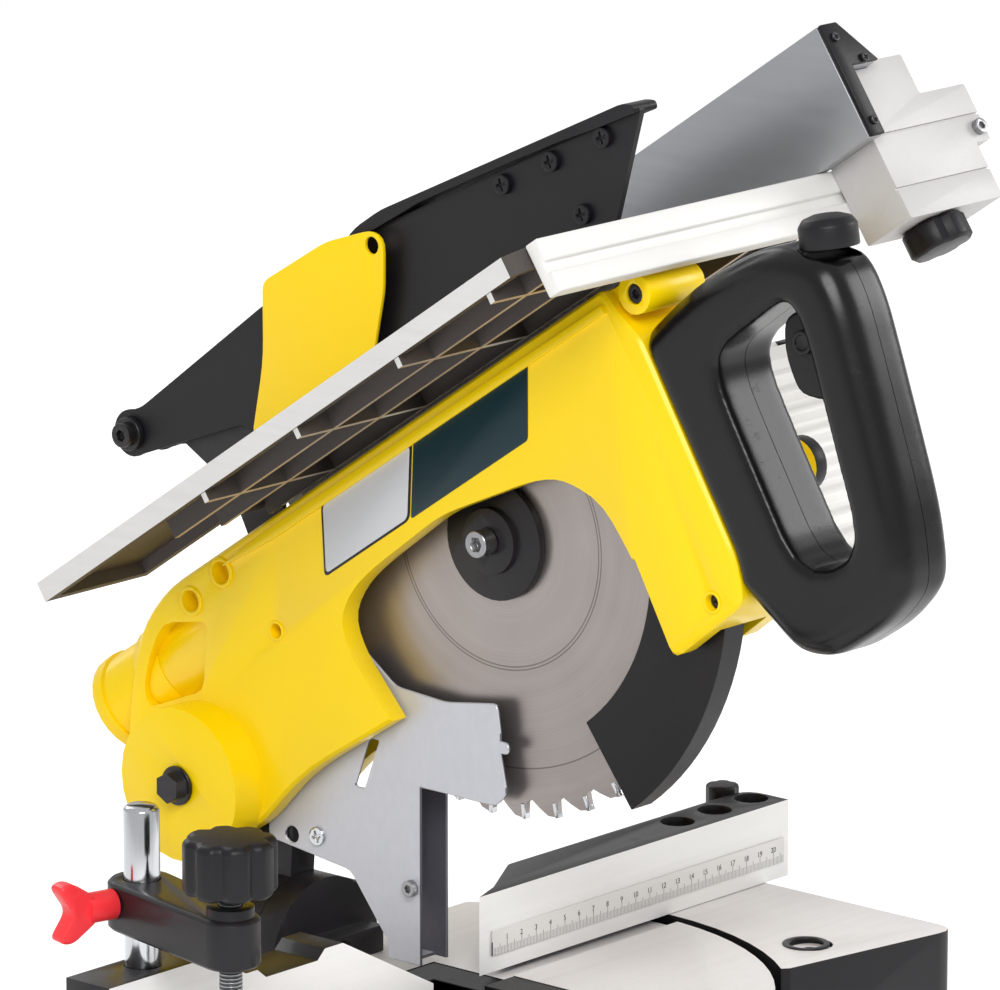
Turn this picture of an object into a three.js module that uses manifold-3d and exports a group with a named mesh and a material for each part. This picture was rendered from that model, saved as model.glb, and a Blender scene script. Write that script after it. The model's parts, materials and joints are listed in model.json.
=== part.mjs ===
// A mitre saw with an upper saw table. Lengths are in millimetres and angles in degrees.
// X runs to the operator's right, Y from the operator to the rear, Z up.
// The modelling frame has the kerf plane at X = 0, the fence face at Y = 0 and the table top at Z = 0.
// The whole saw is then set on the bench, centred under its own outline.
import * as THREE from 'three';
import { mergeVertices } from 'three/addons/utils/BufferGeometryUtils.js';
import Module from 'manifold-3d';

const wasm = await Module();
wasm.setup();

// Clearances
const SEAT_GAP = 0.3;
const TURN_GAP = 0.4;
const RUN_GAP = 1.5;
const CUT_OVERRUN = 3;
const MERGE_TOLERANCE = 0.02;
const WELD_TOLERANCE = 0.0001;
const JOIN_OVERLAP = 1;
const FINE_EDGE = 1;
const SOFT_EDGE = 1.5;
const BROAD_EDGE = 2;

// Saw blade and arbor
const BLADE_RADIUS = 127;
const BLADE_THICKNESS = 2.6;
const BLADE_TEETH = 40;
const TOOTH_DEPTH = 9;
const FLANGE_RADIUS = 27.5;
const FLANGE_THICKNESS = 4;
const ARBOR_RADIUS = 9;
const ARBOR_SCREW_LENGTH = 8;
const BEARING_RADIUS = 18;
const BEARING_WIDTH = 11;
const FLANGE_START = BLADE_THICKNESS / 2 + SEAT_GAP;
const toothShares = [[0, 0], [0.15, 0.3], [0.55, 0.52], [1, 0.74], [0.85, 0.92]];

// Head pose and pivot
const PIVOT_BACK = BLADE_RADIUS * 1.0394;
const PIVOT_HEIGHT = BLADE_RADIUS * 0.6142;
const ARBOR_REACH = BLADE_RADIUS * 1.6457;
const ARBOR_RISE = BLADE_RADIUS * 0.17;
const HEAD_LIFT_ANGLE = 34;
const PIVOT_SHAFT_RADIUS = 8;

// Head casting
const CASTING_TOP = BLADE_RADIUS * 0.4882;
const CASTING_LEFT = 22;
const CASTING_RIGHT = 32;
const CASTING_SKIN = 10.5;
const CASTING_WEB = 6;
const PIVOT_BOSS_RADIUS = 36;
const PIVOT_BOSS_LEFT = 40;
const PIVOT_CAVITY_RADIUS = 40;
const DUST_PORT_RADIUS = 23;
const DUST_PORT_LENGTH = 48;
const DUST_PORT_HEIGHT = 32;
const DUST_PORT_WALL = 3;
const DUST_PORT_SIDE = 4;
const DUST_PORT_LIP = 1.5;
const CASTING_RIGHT_SKIN = 12;
const ARBOR_BOSS_WALL = 7;
const ARBOR_BOSS_DEPTH = 8;
const RIDGE_PROUD = 2;
const POCKET_FLOOR = 8;
const RIGHT_BOSS_PROUD = 4;
const COLUMN_OFFSET = 2;
const PIVOT_Y = ARBOR_REACH;
const PIVOT_Z = -ARBOR_RISE;
const CAVITY_TOP = CASTING_TOP - CASTING_WEB;
const CAVITY_LEFT = CASTING_LEFT - CASTING_SKIN;
const CAVITY_RIGHT = CASTING_RIGHT - CASTING_RIGHT_SKIN;
const COLUMN_X = CASTING_RIGHT + COLUMN_OFFSET;
const columnPlaceShares = [-0.5, 0.62];
const COLUMN_PLACES = columnPlaceShares.map((share) => share * ARBOR_REACH);
const castingOutlineShares = [
  [0.871, 1, 0.194], [-0.641, 1, 0.048], [-0.651, 0.823, 0.048], [-0.679, 0.548, 0.048],
  [-0.665, -0.516, 0.097], [-0.656, -1.129, 0.129],
  [-0.622, -1.419, 0.097], [-0.383, -1.484, 0.097], [-0.402, -0.742, 0], [0.421, -0.758, 0],
  [0.737, -0.726, 0.323],
  [0.909, -0.871, 0.161], [1.172, -0.806, 0.484], [1.254, -0.129, 0.323], [1.096, 0.548, 0.194],
  [0.986, 0.871, 0.161],
];
const archShares = [
  [-0.403, -0.9, 0], [-0.402, -0.613, 0.161], [-0.392, -0.242, 0.29], [-0.316, 0.048, 0.129],
  [-0.239, 0.145, 0.161], [0.033, 0.306, 0.161],
  [0.287, 0.258, 0.161], [0.364, 0.21, 0.129], [0.431, 0.081, 0.129], [0.445, -0.177, 0.129],
  [0.421, -0.758, 0], [0.421, -0.9, 0],
];
const pocketShares = [
  [0.794, 0.621, 0.065], [0.919, 0.806, 0.097], [1.005, 0.653, 0.161], [1.062, 0.452, 0.065],
  [1.067, 0.331, 0.048], [0.895, 0.202, 0.081],
];
const ridgeShares = [[-0.63, 0.84], [-0.63, 0.9], [0.5, 0.93], [0.7, 0.9], [0.5, 0.85]];
const castingHoleShares = [
  [0.694, 0.87, 0.085], [0.813, 0.82, 0.081], [0.617, 0.274, 0.055], [-0.55, -1.29, 0.058],
];
const lugHoleShares = [-0.71, 0.85, 0.075];

// Motor and drive
const MOTOR_BACK = 30;
const MOTOR_RISE = 6;
const MOTOR_RADIUS = 57;
const MOTOR_LENGTH = 172;
const MOTOR_FINS = 30;
const MOTOR_FIN_DEPTH = 4;
const MOTOR_CAP_LENGTH = 24;
const MOTOR_WALL = 8;
const DRIVE_COVER_DEPTH = 34;
const DRIVE_COVER_WALL = 3;
const BLADE_PULLEY_RADIUS = 11;
const MOTOR_PULLEY_RADIUS = 12;
const PULLEY_WIDTH = 14;
const BELT_THICKNESS = 2.5;
const ROTOR_RADIUS = 32;
const MOTOR_SHAFT_RADIUS = 7;
const CAPACITOR_RADIUS = 13;
const CAPACITOR_LENGTH = 8;
const CAPACITOR_ANGLE = 195;
const PULLEY_INSET = 8;
const BELT_MARGIN = 2;
const FAN_BLADE_THICKNESS = 3;
const FAN_BLADES = 6;
const COVER_LEFT = CASTING_RIGHT + SEAT_GAP;
const COVER_RIGHT = COVER_LEFT + DRIVE_COVER_DEPTH;
const PULLEY_LEFT = COVER_LEFT + PULLEY_INSET;
const MOTOR_LEFT = COVER_RIGHT + SEAT_GAP;
const motorCapShares = [
  [0.3, 1], [0.3, 0.9], [0.84, 0.9], [0.94, 0.72], [0.94, 0], [1, 0], [1, 0.75], [0.88, 1], [0.3, 1],
];

// Lower guard
const GUARD_RADIUS = BLADE_RADIUS + 6 * RUN_GAP;
const GUARD_INNER_RADIUS = BLADE_RADIUS * 0.7244;
const GUARD_WALL = 1.5;
const GUARD_RIM = 2.5;
const GUARD_HALF_WIDTH = 6.8;
const GUARD_START_ANGLE = -160;
const GUARD_END_ANGLE = -93;
const GUARD_HUB_RADIUS = 21;
const GUARD_HUB_RIM = 9;

// Handle
const HANDLE_LEFT = 22;
const HANDLE_RIGHT = 17;
const HANDLE_SPLIT = -2.5;
const HANDLE_EDGE = 7;
const TRIGGER_WIDTH = 16;
const LOCK_BUTTON_RADIUS = 13;
const LOCK_BUTTON_HEIGHT = 8;
const buttonPlaceShares = [-1.178, 0.5];
const BUTTON_LEAN = 24;
const buttonShares = [[0, -0.75], [1, -0.75], [1, 0.45], [0.82, 0.85], [0.45, 1.05], [0, 1.12]];
const handleShares = [
  [-0.6, 0.5, 0], [-0.689, 0.597, 0.065], [-0.871, 0.694, 0.403], [-1.081, 0.629, 0.242],
  [-1.203, 0.339, 0.177], [-1.201, -0.016, 0.161],
  [-1.163, -0.532, 0.323], [-1.081, -1.548, 0.306], [-1.019, -1.952, 0.129], [-0.914, -2.065, 0.161],
  [-0.756, -2.065, 0.161], [-0.679, -1.903, 0.129], [-0.627, -1.387, 0.065],
  [-0.6, -1.3, 0],
];
const openingShares = [
  [-0.852, 0.194, 0.194], [-1.081, 0.226, 0.129], [-1.077, -0.065, 0.194], [-0.957, -1.597, 0.323],
  [-0.789, -1.484, 0.323],
  [-0.809, -0.274, 0.323], [-0.818, 0.016, 0.161],
];
const triggerShares = [
  [-1.11, 0.13, 0.032], [-1.005, 0.15, 0.081], [-0.965, -0.06, 0.129], [-0.955, -0.35, 0.081],
  [-1.005, -0.484, 0.048], [-1.085, -0.452, 0.032],
];
const triggerWayShares = [
  [-1.13, 0.18], [-0.98, 0.18], [-0.94, -0.53], [-1.09, -0.6], [-1.13, -0.45],
];

// Upper table and its fence
const UPPER_TABLE_HEIGHT = BLADE_RADIUS * 0.6378;
const UPPER_TABLE_LEFT = 92;
const UPPER_TABLE_RIGHT = 146;
const UPPER_TABLE_FRONT = ARBOR_REACH * 0.7656;
const UPPER_TABLE_REAR = ARBOR_REACH * 0.8852;
const UPPER_TABLE_PLATE = 4;
const UPPER_TABLE_SKIRT = 9.5;
const UPPER_TABLE_WALL = 5;
const UPPER_TABLE_RIB = 3;
const UPPER_TABLE_RIB_DEPTH = 14;
const UPPER_TABLE_NOTCH = ARBOR_REACH * 0.3158;
const UPPER_SLOT_HALF_WIDTH = 6;
const UPPER_SLOT_FRONT = BLADE_RADIUS * 1.0709;
const UPPER_SLOT_REAR = ARBOR_REACH * 0.7943;
const APRON_HEIGHT = 25;
const APRON_DEPTH = 8;
const COLUMN_RADIUS = 6;
const COLUMN_BOSS_RADIUS = 11;
const RIP_FENCE_LEFT = 104;
const RIP_FENCE_HEIGHT = 55;
const RIP_FENCE_TOP_WIDTH = 11;
const RIP_FENCE_FOOT_WIDTH = 8.6;
const RIP_FENCE_HEAD_WIDTH = 27;
const RIP_FENCE_HEAD_HEIGHT = 21;
const RIP_FENCE_FRONT = ARBOR_REACH * 0.9713;
const RIP_FENCE_LENGTH = ARBOR_REACH * 1.1962;
const RIP_CAP_THICKNESS = 2.5;
const CARRIAGE_BOTTOM = UPPER_TABLE_HEIGHT * 0.5309;
const CARRIAGE_DEPTH = 29;
const CARRIAGE_SHOULDER = UPPER_TABLE_HEIGHT * 1.2099;
const CARRIAGE_WAIST = UPPER_TABLE_HEIGHT * 0.8642;
const CARRIAGE_STEP = 10;
const CARRIAGE_GROOVE = 1.2;
const carriageGrooveShares = [0.25, 0.72];
const CARRIAGE_RIGHT = 188;
const CLAMP_KNOB_RADIUS = 15;
const CLAMP_KNOB_LENGTH = 22;
const CARRIAGE_CORNER = 1.5;
const CARRIAGE_LEFT = RIP_FENCE_LEFT + RIP_FENCE_FOOT_WIDTH + SEAT_GAP;
const CARRIAGE_MIDDLE = (CARRIAGE_LEFT + CARRIAGE_RIGHT) / 2 + CARRIAGE_STEP * 0.6;
const CARRIAGE_BACK = -UPPER_TABLE_FRONT - APRON_DEPTH - 2 * SEAT_GAP;
const CARRIAGE_KNOB_X = CARRIAGE_LEFT + CARRIAGE_DEPTH;
const CARRIAGE_KNOB_Y = CARRIAGE_BACK - CARRIAGE_DEPTH * 0.5;
const CARRIAGE_KNOB_LENGTH = 13;
const CARRIAGE_KNOB_TOP = CARRIAGE_BOTTOM - SEAT_GAP;
const CARRIAGE_KNOB_ROD = 16;
const UPPER_PLATE_BOTTOM = UPPER_TABLE_HEIGHT - UPPER_TABLE_PLATE;
const RIP_BOTTOM = UPPER_TABLE_HEIGHT + SEAT_GAP;
const RIP_TOP = UPPER_TABLE_HEIGHT + RIP_FENCE_HEIGHT;
const longRibShares = [-0.75, -0.42, 0.42, 0.75];
const crossRibShares = [-0.85, -0.45, 0, 0.42];

// Upper blade hood and riving knife
const HOOD_HALF_WIDTH = 10;
const HOOD_WALL = 2;
const HOOD_RIM = 3;
const HOOD_RIM_HALF_WIDTH = 13.5;
const HOOD_PIVOT_BACK = ARBOR_REACH * 0.8182;
const HOOD_PIVOT_RISE = UPPER_TABLE_HEIGHT * 1.6667;
const HOOD_PIVOT_RADIUS = 11;
const HOOD_SCREW_RADIUS = 4;
const HOOD_PLATE_THICKNESS = 2;
const HOOD_PLATE_RIGHT = 16;
const hoodSpacerShares = [[-0.05, 0.93], [0.22, 0.93]];
const HOOD_BOTTOM = UPPER_TABLE_HEIGHT + HOOD_RIM;
const HOOD_BOTTOM_SHARE = HOOD_BOTTOM / HOOD_PIVOT_RISE;
const hoodOutlineShares = [
  [0, 1.107, 0.144], [-1.1, 0.908, 0.01], [-1.095, 0.888, 0.01],
  [-0.853, HOOD_BOTTOM_SHARE, 0.022], [0.568, HOOD_BOTTOM_SHARE, 0.022],
  [0.607, 0.8, 0.029], [1, 0.919, 0],
  [1, 1.081, 0], [0.93, 1.055, 0.029], [0.371, 1.096, 0.058],
];
const hoodInsideShares = [
  [0, 1.089], [-0.95, 0.909], [-0.93, 0.885], [-0.665, 0.64], [-0.665, 0.4], [0.7, 0.4],
  [0.7, 0.78], [1.2, 0.93], [1.2, 1.2], [0.93, 1.2], [0.93, 1.0], [0.9, 1.0], [0.371, 1.07],
];
const hoodLipShares = [
  [0, 1.1, 0], [-0.07, 1.122, 0.03], [-0.175, 1.121, 0.03], [-0.626, 1.03, 0], [-0.992, 0.956, 0],
  [-1.07, 0.94, 0.02], [-1.1, 0.915, 0.01], [-1.095, 0.89, 0.01],
  [-0.962, 0.921, 0], [-0.83, 0.957, 0], [-0.649, 0.997, 0], [-0.462, 1.034, 0], [-0.31, 1.065, 0],
  [0, 1.09, 0],
];
const hoodNoseShares = [
  [-0.97, 1.2], [-0.97, 0.9], [-0.69, HOOD_BOTTOM_SHARE], [-0.69, 0.4], [-2, 0.4], [-2, 1.2],
];
const HOOD_NOSE_WALL = 3;
const HOOD_LIP_RIGHT = 2;
const hoodPlateShares = [
  [0.287, 1.148, 0.03], [0.024, 1.133, 0.044], [-0.14, 1.074, 0.044], [-0.164, 1.022, 0.044],
  [-0.088, 0.881, 0.03], [0.041, 0.721, 0.014],
  [0.524, 0.721, 0.014], [0.55, 0.741, 0.022], [0.403, 0.927, 0.074],
];
const KNIFE_THICKNESS = 2.4;
const KNIFE_CLEARANCE = 4;
const KNIFE_FOOT_BOTTOM = CASTING_TOP * 0.4839;
const KNIFE_ARC_STEPS = 8;
const KNIFE_ARC_START = 58;
const KNIFE_ARC_STEP_ANGLE = 5.2;
const knifeShares = [
  [0.81, 0.583], [0.84, 0.763], [0.885, 0.878], [1, 0.937], [1, 1], [0.9, 0.97], [0.66, 0.94], [0.44, 0.86],
];

// Base and lower table
const BEVEL_SUPPORT_DEPTH = 14;
const TABLE_HEIGHT = 84;
const FOOT_HEIGHT = 8;
const FOOT_RADIUS = 15;
const BASE_HALF_WIDTH = 222;
const WING_CORNER = 12;
const BASE_WALL = 7;
const BASE_TOP_PLATE = 8;
const WELL_GAP = 6;
const WELL_FLOOR = 44;
const FLOOR_THICKNESS = 10;
const TURNTABLE_RADIUS = BLADE_RADIUS * 1.1457;
const WELL_RADIUS = TURNTABLE_RADIUS + WELL_GAP;
const WING_FRONT = TURNTABLE_RADIUS * 0.7904;
const BASE_BACK = TURNTABLE_RADIUS * 0.5361;
const WING_INNER_FRONT = WING_FRONT * 0.8261;
const BASE_BOTTOM = FOOT_HEIGHT - TABLE_HEIGHT;
const FOOT_INSET = FOOT_RADIUS + BASE_WALL;
const footShares = [[0, 0], [0.85, 0], [1, 0.4], [0.9, 1], [0, 1]];
const FOOT_PLACES = [
  { name: 'foot_front_left', x: -BASE_HALF_WIDTH + FOOT_INSET, y: -WING_FRONT + FOOT_INSET },
  { name: 'foot_rear_left', x: -BASE_HALF_WIDTH + FOOT_INSET, y: BASE_BACK - FOOT_INSET },
  { name: 'foot_front_right', x: BASE_HALF_WIDTH - FOOT_INSET, y: -WING_FRONT + FOOT_INSET },
  { name: 'foot_rear_right', x: BASE_HALF_WIDTH - FOOT_INSET, y: BASE_BACK - FOOT_INSET },
];
const TURNTABLE_DEPTH = WELL_FLOOR - SEAT_GAP;
const TURNTABLE_STEP = 3;
const TURNTABLE_STEP_FRONT = 10;
const TURNTABLE_BACK = BASE_BACK + BEVEL_SUPPORT_DEPTH;
const ARM_HALF_WIDTH = 15.5;
const ARM_LOW_TOP = 48;
const ARM_LOW_BOTTOM = 70;
const ARM_DROP_START = TURNTABLE_RADIUS * 1.141;
const ARM_FRONT = TURNTABLE_RADIUS * 1.842;
const KERF_LEFT = 5;
const KERF_RIGHT = 11;
const KERF_FRONT = BLADE_RADIUS * 1.3543;
const KERF_BACK = 34;
const KERF_DEPTH = 33;
const INSERT_HALF_WIDTH = 13;
const INSERT_THICKNESS = 4;
const INSERT_FRONT = KERF_FRONT * 0.8;
const INSERT_RIGHT = INSERT_HALF_WIDTH + KERF_DEPTH / 2;
const BENCH_HOLE_RADIUS = 4.5;
const BENCH_RECESS_RADIUS = 10.3;
const BENCH_RECESS_DEPTH = 2.5;
const BENCH_HOLE_X = WELL_RADIUS + BASE_WALL * 0.8;
const BENCH_HOLE_Y = -WING_FRONT * 0.6957;
const LOCK_KNOB_RADIUS = 17;
const LOCK_KNOB_LENGTH = 42;
const LOCK_ROD_RADIUS = 5;
const SMALL_ROD_RADIUS = LOCK_ROD_RADIUS * 0.8;
const LOCK_ROD_HEIGHT = -(ARM_LOW_TOP + ARM_LOW_BOTTOM) / 2;
const ARM_TOP_END = ARM_DROP_START * 1.16;
const armDropShares = [1.22, 1.24, 1.06];
const DETENT_LEVER_LENGTH = 46;
const DETENT_LEVER_WIDTH = 22;

// Lower fence
const FENCE_DEPTH = 26;
const FENCE_HEIGHT = 37.5;
const FENCE_WALL = 8;
const FENCE_TALL = 49;
const FENCE_LOW = 32;
const FENCE_MID = 36.5;
const FENCE_CORNER = 2;
const FENCE_RIGHT_START = 18;
const FENCE_RIGHT_END = BASE_HALF_WIDTH + WELL_GAP + FLOOR_THICKNESS;
const FENCE_LEFT_END = BASE_HALF_WIDTH;
const FENCE_HOLE_RADIUS = 8.3;
const FENCE_HOLE_BACK = 14.5;
const FENCE_HOLE_PITCH = 27;
const FENCE_HOLE_FIRST = FENCE_RIGHT_END - 2.37 * FENCE_HOLE_PITCH;
const RULER_HEIGHT = 12;
const RULER_THICKNESS = 0.6;
const RULER_BOTTOM = 8;

// Hold-down clamp on the left fence
const POST_RADIUS = 8;
const POST_TOP = 121;
const POST_SINK = 24;
const POST_X = -BASE_HALF_WIDTH * 0.8378;
const CLAMP_TURN = -13.6;
const CLAMP_REACH = 70;
const CLAMP_ARM_BOTTOM = 66;
const CLAMP_ARM_HEIGHT = 22;
const CLAMP_ARM_RADIUS = 15;
const CLAMP_NOSE_RADIUS = 13;
const SPINDLE_RADIUS = 5;
const SPINDLE_BOTTOM = 30;
const FLUTED_KNOB_RADIUS = 20.5;
const FLUTED_KNOB_HEIGHT = 25;
const PAD_RADIUS = 13;
const PAD_HEIGHT = 7;
const WING_SPAN = 28;
const WING_THICKNESS = 9;
const WING_STEM = 14;
const CLAMP_SCREW_HEIGHT = 79;
const SPINDLE_KNOB_BOTTOM = CLAMP_ARM_BOTTOM + CLAMP_ARM_HEIGHT * 1.45;

// Bevel joint
const BEVEL_RADIUS = 36;
const BEVEL_SUPPORT_FRONT = BASE_BACK;
const BEVEL_DISC_DEPTH = 14;
const BEVEL_DISC_FRONT = BEVEL_SUPPORT_FRONT + BEVEL_SUPPORT_DEPTH + TURN_GAP;
const BEVEL_DISC_BACK = BEVEL_DISC_FRONT + BEVEL_DISC_DEPTH;
const BEVEL_BOLT_RADIUS = 8;
const LUG_LEFT = 7.7;
const LUG_RIGHT = 8;
const LUG_RADIUS = 30;
const BEVEL_LEVER_LENGTH = 74;
const BEVEL_LEVER_THICKNESS = 9;
const SPRING_CURLS = 3;
const SPRING_WIRE = 1;
const SPRING_RADIUS = 13;
const LATCH_RADIUS = 4;
const LATCH_KNOB_LENGTH = 14;
const LATCH_SIDE_SHARE = 0.62;
const LATCH_Y = PIVOT_Y - LUG_RADIUS * LATCH_SIDE_SHARE;
const LATCH_Z = PIVOT_Z + LUG_RADIUS * LATCH_SIDE_SHARE;
const SPRING_STEPS = 8;
const SPRING_SIDES = 5;

// Sheet guard bracket
const SHEET_THICKNESS = 1.5;
const CHANNEL_HALF_WIDTH = 8;
const CHANNEL_FRONT = 11;
const CHANNEL_DEPTH = 20;
const CHANNEL_TOP = 86;
const CHANNEL_BOTTOM = 9;
const BRACKET_CORNER = 2 * SHEET_THICKNESS;
const bracketShares = [
  [0.79, 0.67, 0.038], [0.79, 0.92, 0.038], [0.712, 1.1, 0.038], [0.356, 1.95, 0.038],
  [0.197, 1.756, 0.038],
  [-0.03, 1.73, 0.038], [-0.265, 1.79, 0.038], [-0.28, 1.62], [-0.28, 1.57], [-0.318, 1.57, 0.038],
  [-0.318, 1.5, 0.038], [-0.28, 1.5], [-0.31, 1.27, 0.038], [-0.258, 1.18, 0.038],
];

// Colours and finishes
const finish = (color, roughness, metalness) => ({ color, roughness, metalness });
const YELLOW = finish(0xf5c400, 0.35, 0.1);
const PLATE_YELLOW = finish(0xf7d200, 0.4, 0.1);
const BLACK_PAINT = finish(0x242226, 0.5, 0.2);
const BLACK_PLASTIC = finish(0x2b282d, 0.42, 0);
const ALUMINIUM = finish(0xd9d9d6, 0.4, 0.8);
const WHITE_METAL = finish(0xeceae4, 0.45, 0.3);
const GREY_SHEET = finish(0xb4b7c1, 0.4, 0.6);
const STEEL = finish(0xa8a29e, 0.3, 0.95);
const RED = finish(0xe22c34, 0.35, 0);
const RUBBER = finish(0x1c1c1d, 0.85, 0);

const radians = THREE.MathUtils.degToRad;
const ROUND = 26;
const SMALL_ROUND = 14;
const POST_SIDES = 24;
const CAP_SIDES = 36;
const FLANGE_SIDES = 40;
const GUARD_SIDES = 56;
const RIM_SIDES = 64;
const TURNTABLE_SIDES = 72;
const COARSE_CURVE = 2;
const CORNER_CURVE = 3;
const LOBE_CURVE = 5;
const GUARD_CURVE = 10;
const WRAP_CURVE = 12;
const FLUTE_STEPS = 4;

// Solid helpers
function manifoldOf(geometry) {
  const bare = geometry.clone();
  bare.deleteAttribute('normal');
  bare.deleteAttribute('uv');
  const merged = mergeVertices(bare, WELD_TOLERANCE);
  return new wasm.Manifold(new wasm.Mesh({
    numProp: 3,
    vertProperties: new Float32Array(merged.attributes.position.array),
    triVerts: new Uint32Array(merged.index.array),
  }));
}

function geometryOf(manifold) {
  const mesh = manifold.asOriginal().simplify(MERGE_TOLERANCE).getMesh();
  const geometry = new THREE.BufferGeometry();
  geometry.setAttribute('position', new THREE.BufferAttribute(new Float32Array(mesh.vertProperties), 3));
  geometry.setIndex(new THREE.BufferAttribute(new Uint32Array(mesh.triVerts), 1));
  geometry.computeVertexNormals();
  return geometry;
}

function join(...geometries) {
  return geometryOf(geometries.map(manifoldOf).reduce((sum, next) => sum.add(next)));
}

function cut(body, ...tools) {
  return geometryOf(tools.map(manifoldOf).reduce((rest, tool) => rest.subtract(tool), manifoldOf(body)));
}

function common(first, second) {
  return geometryOf(manifoldOf(first).intersect(manifoldOf(second)));
}

// Outlines: a closed polygon, a polygon with rounded corners, and a polygon from shares of two sizes
function polygon(points) {
  return new THREE.Shape(points.map(([u, v]) => new THREE.Vector2(u, v)));
}

function rounded(points, radius = 0) {
  const shape = new THREE.Shape();
  points.forEach((corner, index) => {
    const before = points[(index + points.length - 1) % points.length];
    const after = points[(index + 1) % points.length];
    const radiusHere = corner[2] ?? radius;
    const toBefore = new THREE.Vector2(before[0] - corner[0], before[1] - corner[1]);
    const toAfter = new THREE.Vector2(after[0] - corner[0], after[1] - corner[1]);
    const reachBefore = Math.min(radiusHere, toBefore.length() / 2);
    const reachAfter = Math.min(radiusHere, toAfter.length() / 2);
    const start = toBefore.setLength(reachBefore);
    const end = toAfter.setLength(reachAfter);
    const from = [corner[0] + start.x, corner[1] + start.y];
    if (index === 0) shape.moveTo(...from);
    else shape.lineTo(...from);
    if (radiusHere > 0) {
      shape.quadraticCurveTo(corner[0], corner[1], corner[0] + end.x, corner[1] + end.y);
    }
  });
  shape.closePath();
  return shape;
}

const scaled = (shares, sizeU, sizeV) => shares.map(([u, v, r = 0]) => [u * sizeU, v * sizeV, r * sizeV]);
const headOutline = (shares) => rounded(scaled(shares, ARBOR_REACH, CASTING_TOP));
const hoodOutline = (shares) => rounded(scaled(shares, HOOD_PIVOT_BACK, HOOD_PIVOT_RISE));

function circle(u, v, radius) {
  const shape = new THREE.Shape();
  shape.absarc(u, v, radius, 0, 2 * Math.PI);
  return shape;
}

function sector(innerRadius, outerRadius, startAngle, endAngle) {
  const shape = new THREE.Shape();
  shape.absarc(0, 0, outerRadius, radians(startAngle), radians(endAngle), false);
  shape.absarc(0, 0, innerRadius, radians(endAngle), radians(startAngle), true);
  shape.closePath();
  return shape;
}

function fluted(radius, depth, lobes) {
  const shape = new THREE.Shape();
  const steps = lobes * FLUTE_STEPS;
  for (let step = 0; step < steps; step++) {
    const angle = (2 * Math.PI * step) / steps;
    const reach = step % FLUTE_STEPS === 0 ? radius - depth : radius;
    if (step === 0) shape.moveTo(reach * Math.cos(angle), reach * Math.sin(angle));
    else shape.lineTo(reach * Math.cos(angle), reach * Math.sin(angle));
  }
  shape.closePath();
  return shape;
}

// Prisms: an outline in (Y, Z) along X, in (X, Z) along Y, or in (X, Y) along Z
function extruded(shape, depth, bevel, curveSegments) {
  const options = { depth: depth - 2 * bevel, bevelEnabled: bevel > 0, curveSegments };
  if (bevel > 0) {
    Object.assign(options, { bevelThickness: bevel, bevelSize: bevel, bevelOffset: -bevel,
        bevelSegments: 1 });
  }
  const geometry = new THREE.ExtrudeGeometry(shape, options);
  geometry.translate(0, 0, bevel);
  return geometry;
}

function prismX(shape, left, right, bevel = 0, curveSegments = 4) {
  const geometry = extruded(shape, right - left, bevel, curveSegments);
  geometry.applyMatrix4(new THREE.Matrix4().makeBasis(
    new THREE.Vector3(0, 1, 0), new THREE.Vector3(0, 0, 1), new THREE.Vector3(1, 0, 0)));
  geometry.translate(left, 0, 0);
  return geometry;
}

function prismY(shape, front, back, bevel = 0, curveSegments = 4) {
  const geometry = extruded(shape, back - front, bevel, curveSegments);
  geometry.applyMatrix4(new THREE.Matrix4().makeBasis(
    new THREE.Vector3(1, 0, 0), new THREE.Vector3(0, 0, 1), new THREE.Vector3(0, -1, 0)));
  geometry.translate(0, back, 0);
  return geometry;
}

function prismZ(shape, bottom, top, bevel = 0, curveSegments = 4) {
  const geometry = extruded(shape, top - bottom, bevel, curveSegments);
  geometry.translate(0, 0, bottom);
  return geometry;
}

function box(x0, x1, y0, y1, z0, z1) {
  const geometry = new THREE.BoxGeometry(x1 - x0, y1 - y0, z1 - z0);
  geometry.translate((x0 + x1) / 2, (y0 + y1) / 2, (z0 + z1) / 2);
  return geometry;
}

// Rods: a cylinder along X, Y or Z through a point
function rodX(radius, left, right, y = 0, z = 0, sides = ROUND) {
  const geometry = new THREE.CylinderGeometry(radius, radius, right - left, sides);
  geometry.rotateZ(-Math.PI / 2);
  geometry.translate((left + right) / 2, y, z);
  return geometry;
}

function rodY(radius, front, back, x = 0, z = 0, sides = ROUND) {
  const geometry = new THREE.CylinderGeometry(radius, radius, back - front, sides);
  geometry.translate(x, (front + back) / 2, z);
  return geometry;
}

function rodZ(radius, bottom, top, x = 0, y = 0, sides = ROUND) {
  const geometry = new THREE.CylinderGeometry(radius, radius, top - bottom, sides);
  geometry.rotateX(Math.PI / 2);
  geometry.translate(x, y, (bottom + top) / 2);
  return geometry;
}

// A turned piece about Z, from radius and height pairs given bottom first
function turned(points, sides) {
  const geometry = new THREE.LatheGeometry(points.map(([r, z]) => new THREE.Vector2(r, z)), sides);
  geometry.rotateX(Math.PI / 2);
  return geometry;
}

function named(name, geometry, look) {
  const mesh = new THREE.Mesh(geometry, new THREE.MeshStandardMaterial(look));
  mesh.name = name;
  return mesh;
}

// Base with two wings, a front rim and a floor under the turntable

function baseOutline(inset) {
  const half = BASE_HALF_WIDTH - inset;
  return rounded([
    [-half, BASE_BACK - inset], [-half, -WING_FRONT + inset],
    [-BASE_HALF_WIDTH / 2, -WING_INNER_FRONT + inset], [BASE_HALF_WIDTH / 2, -WING_INNER_FRONT + inset],
    [half, -WING_FRONT + inset], [half, BASE_BACK - inset],
  ], WING_CORNER);
}

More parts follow.
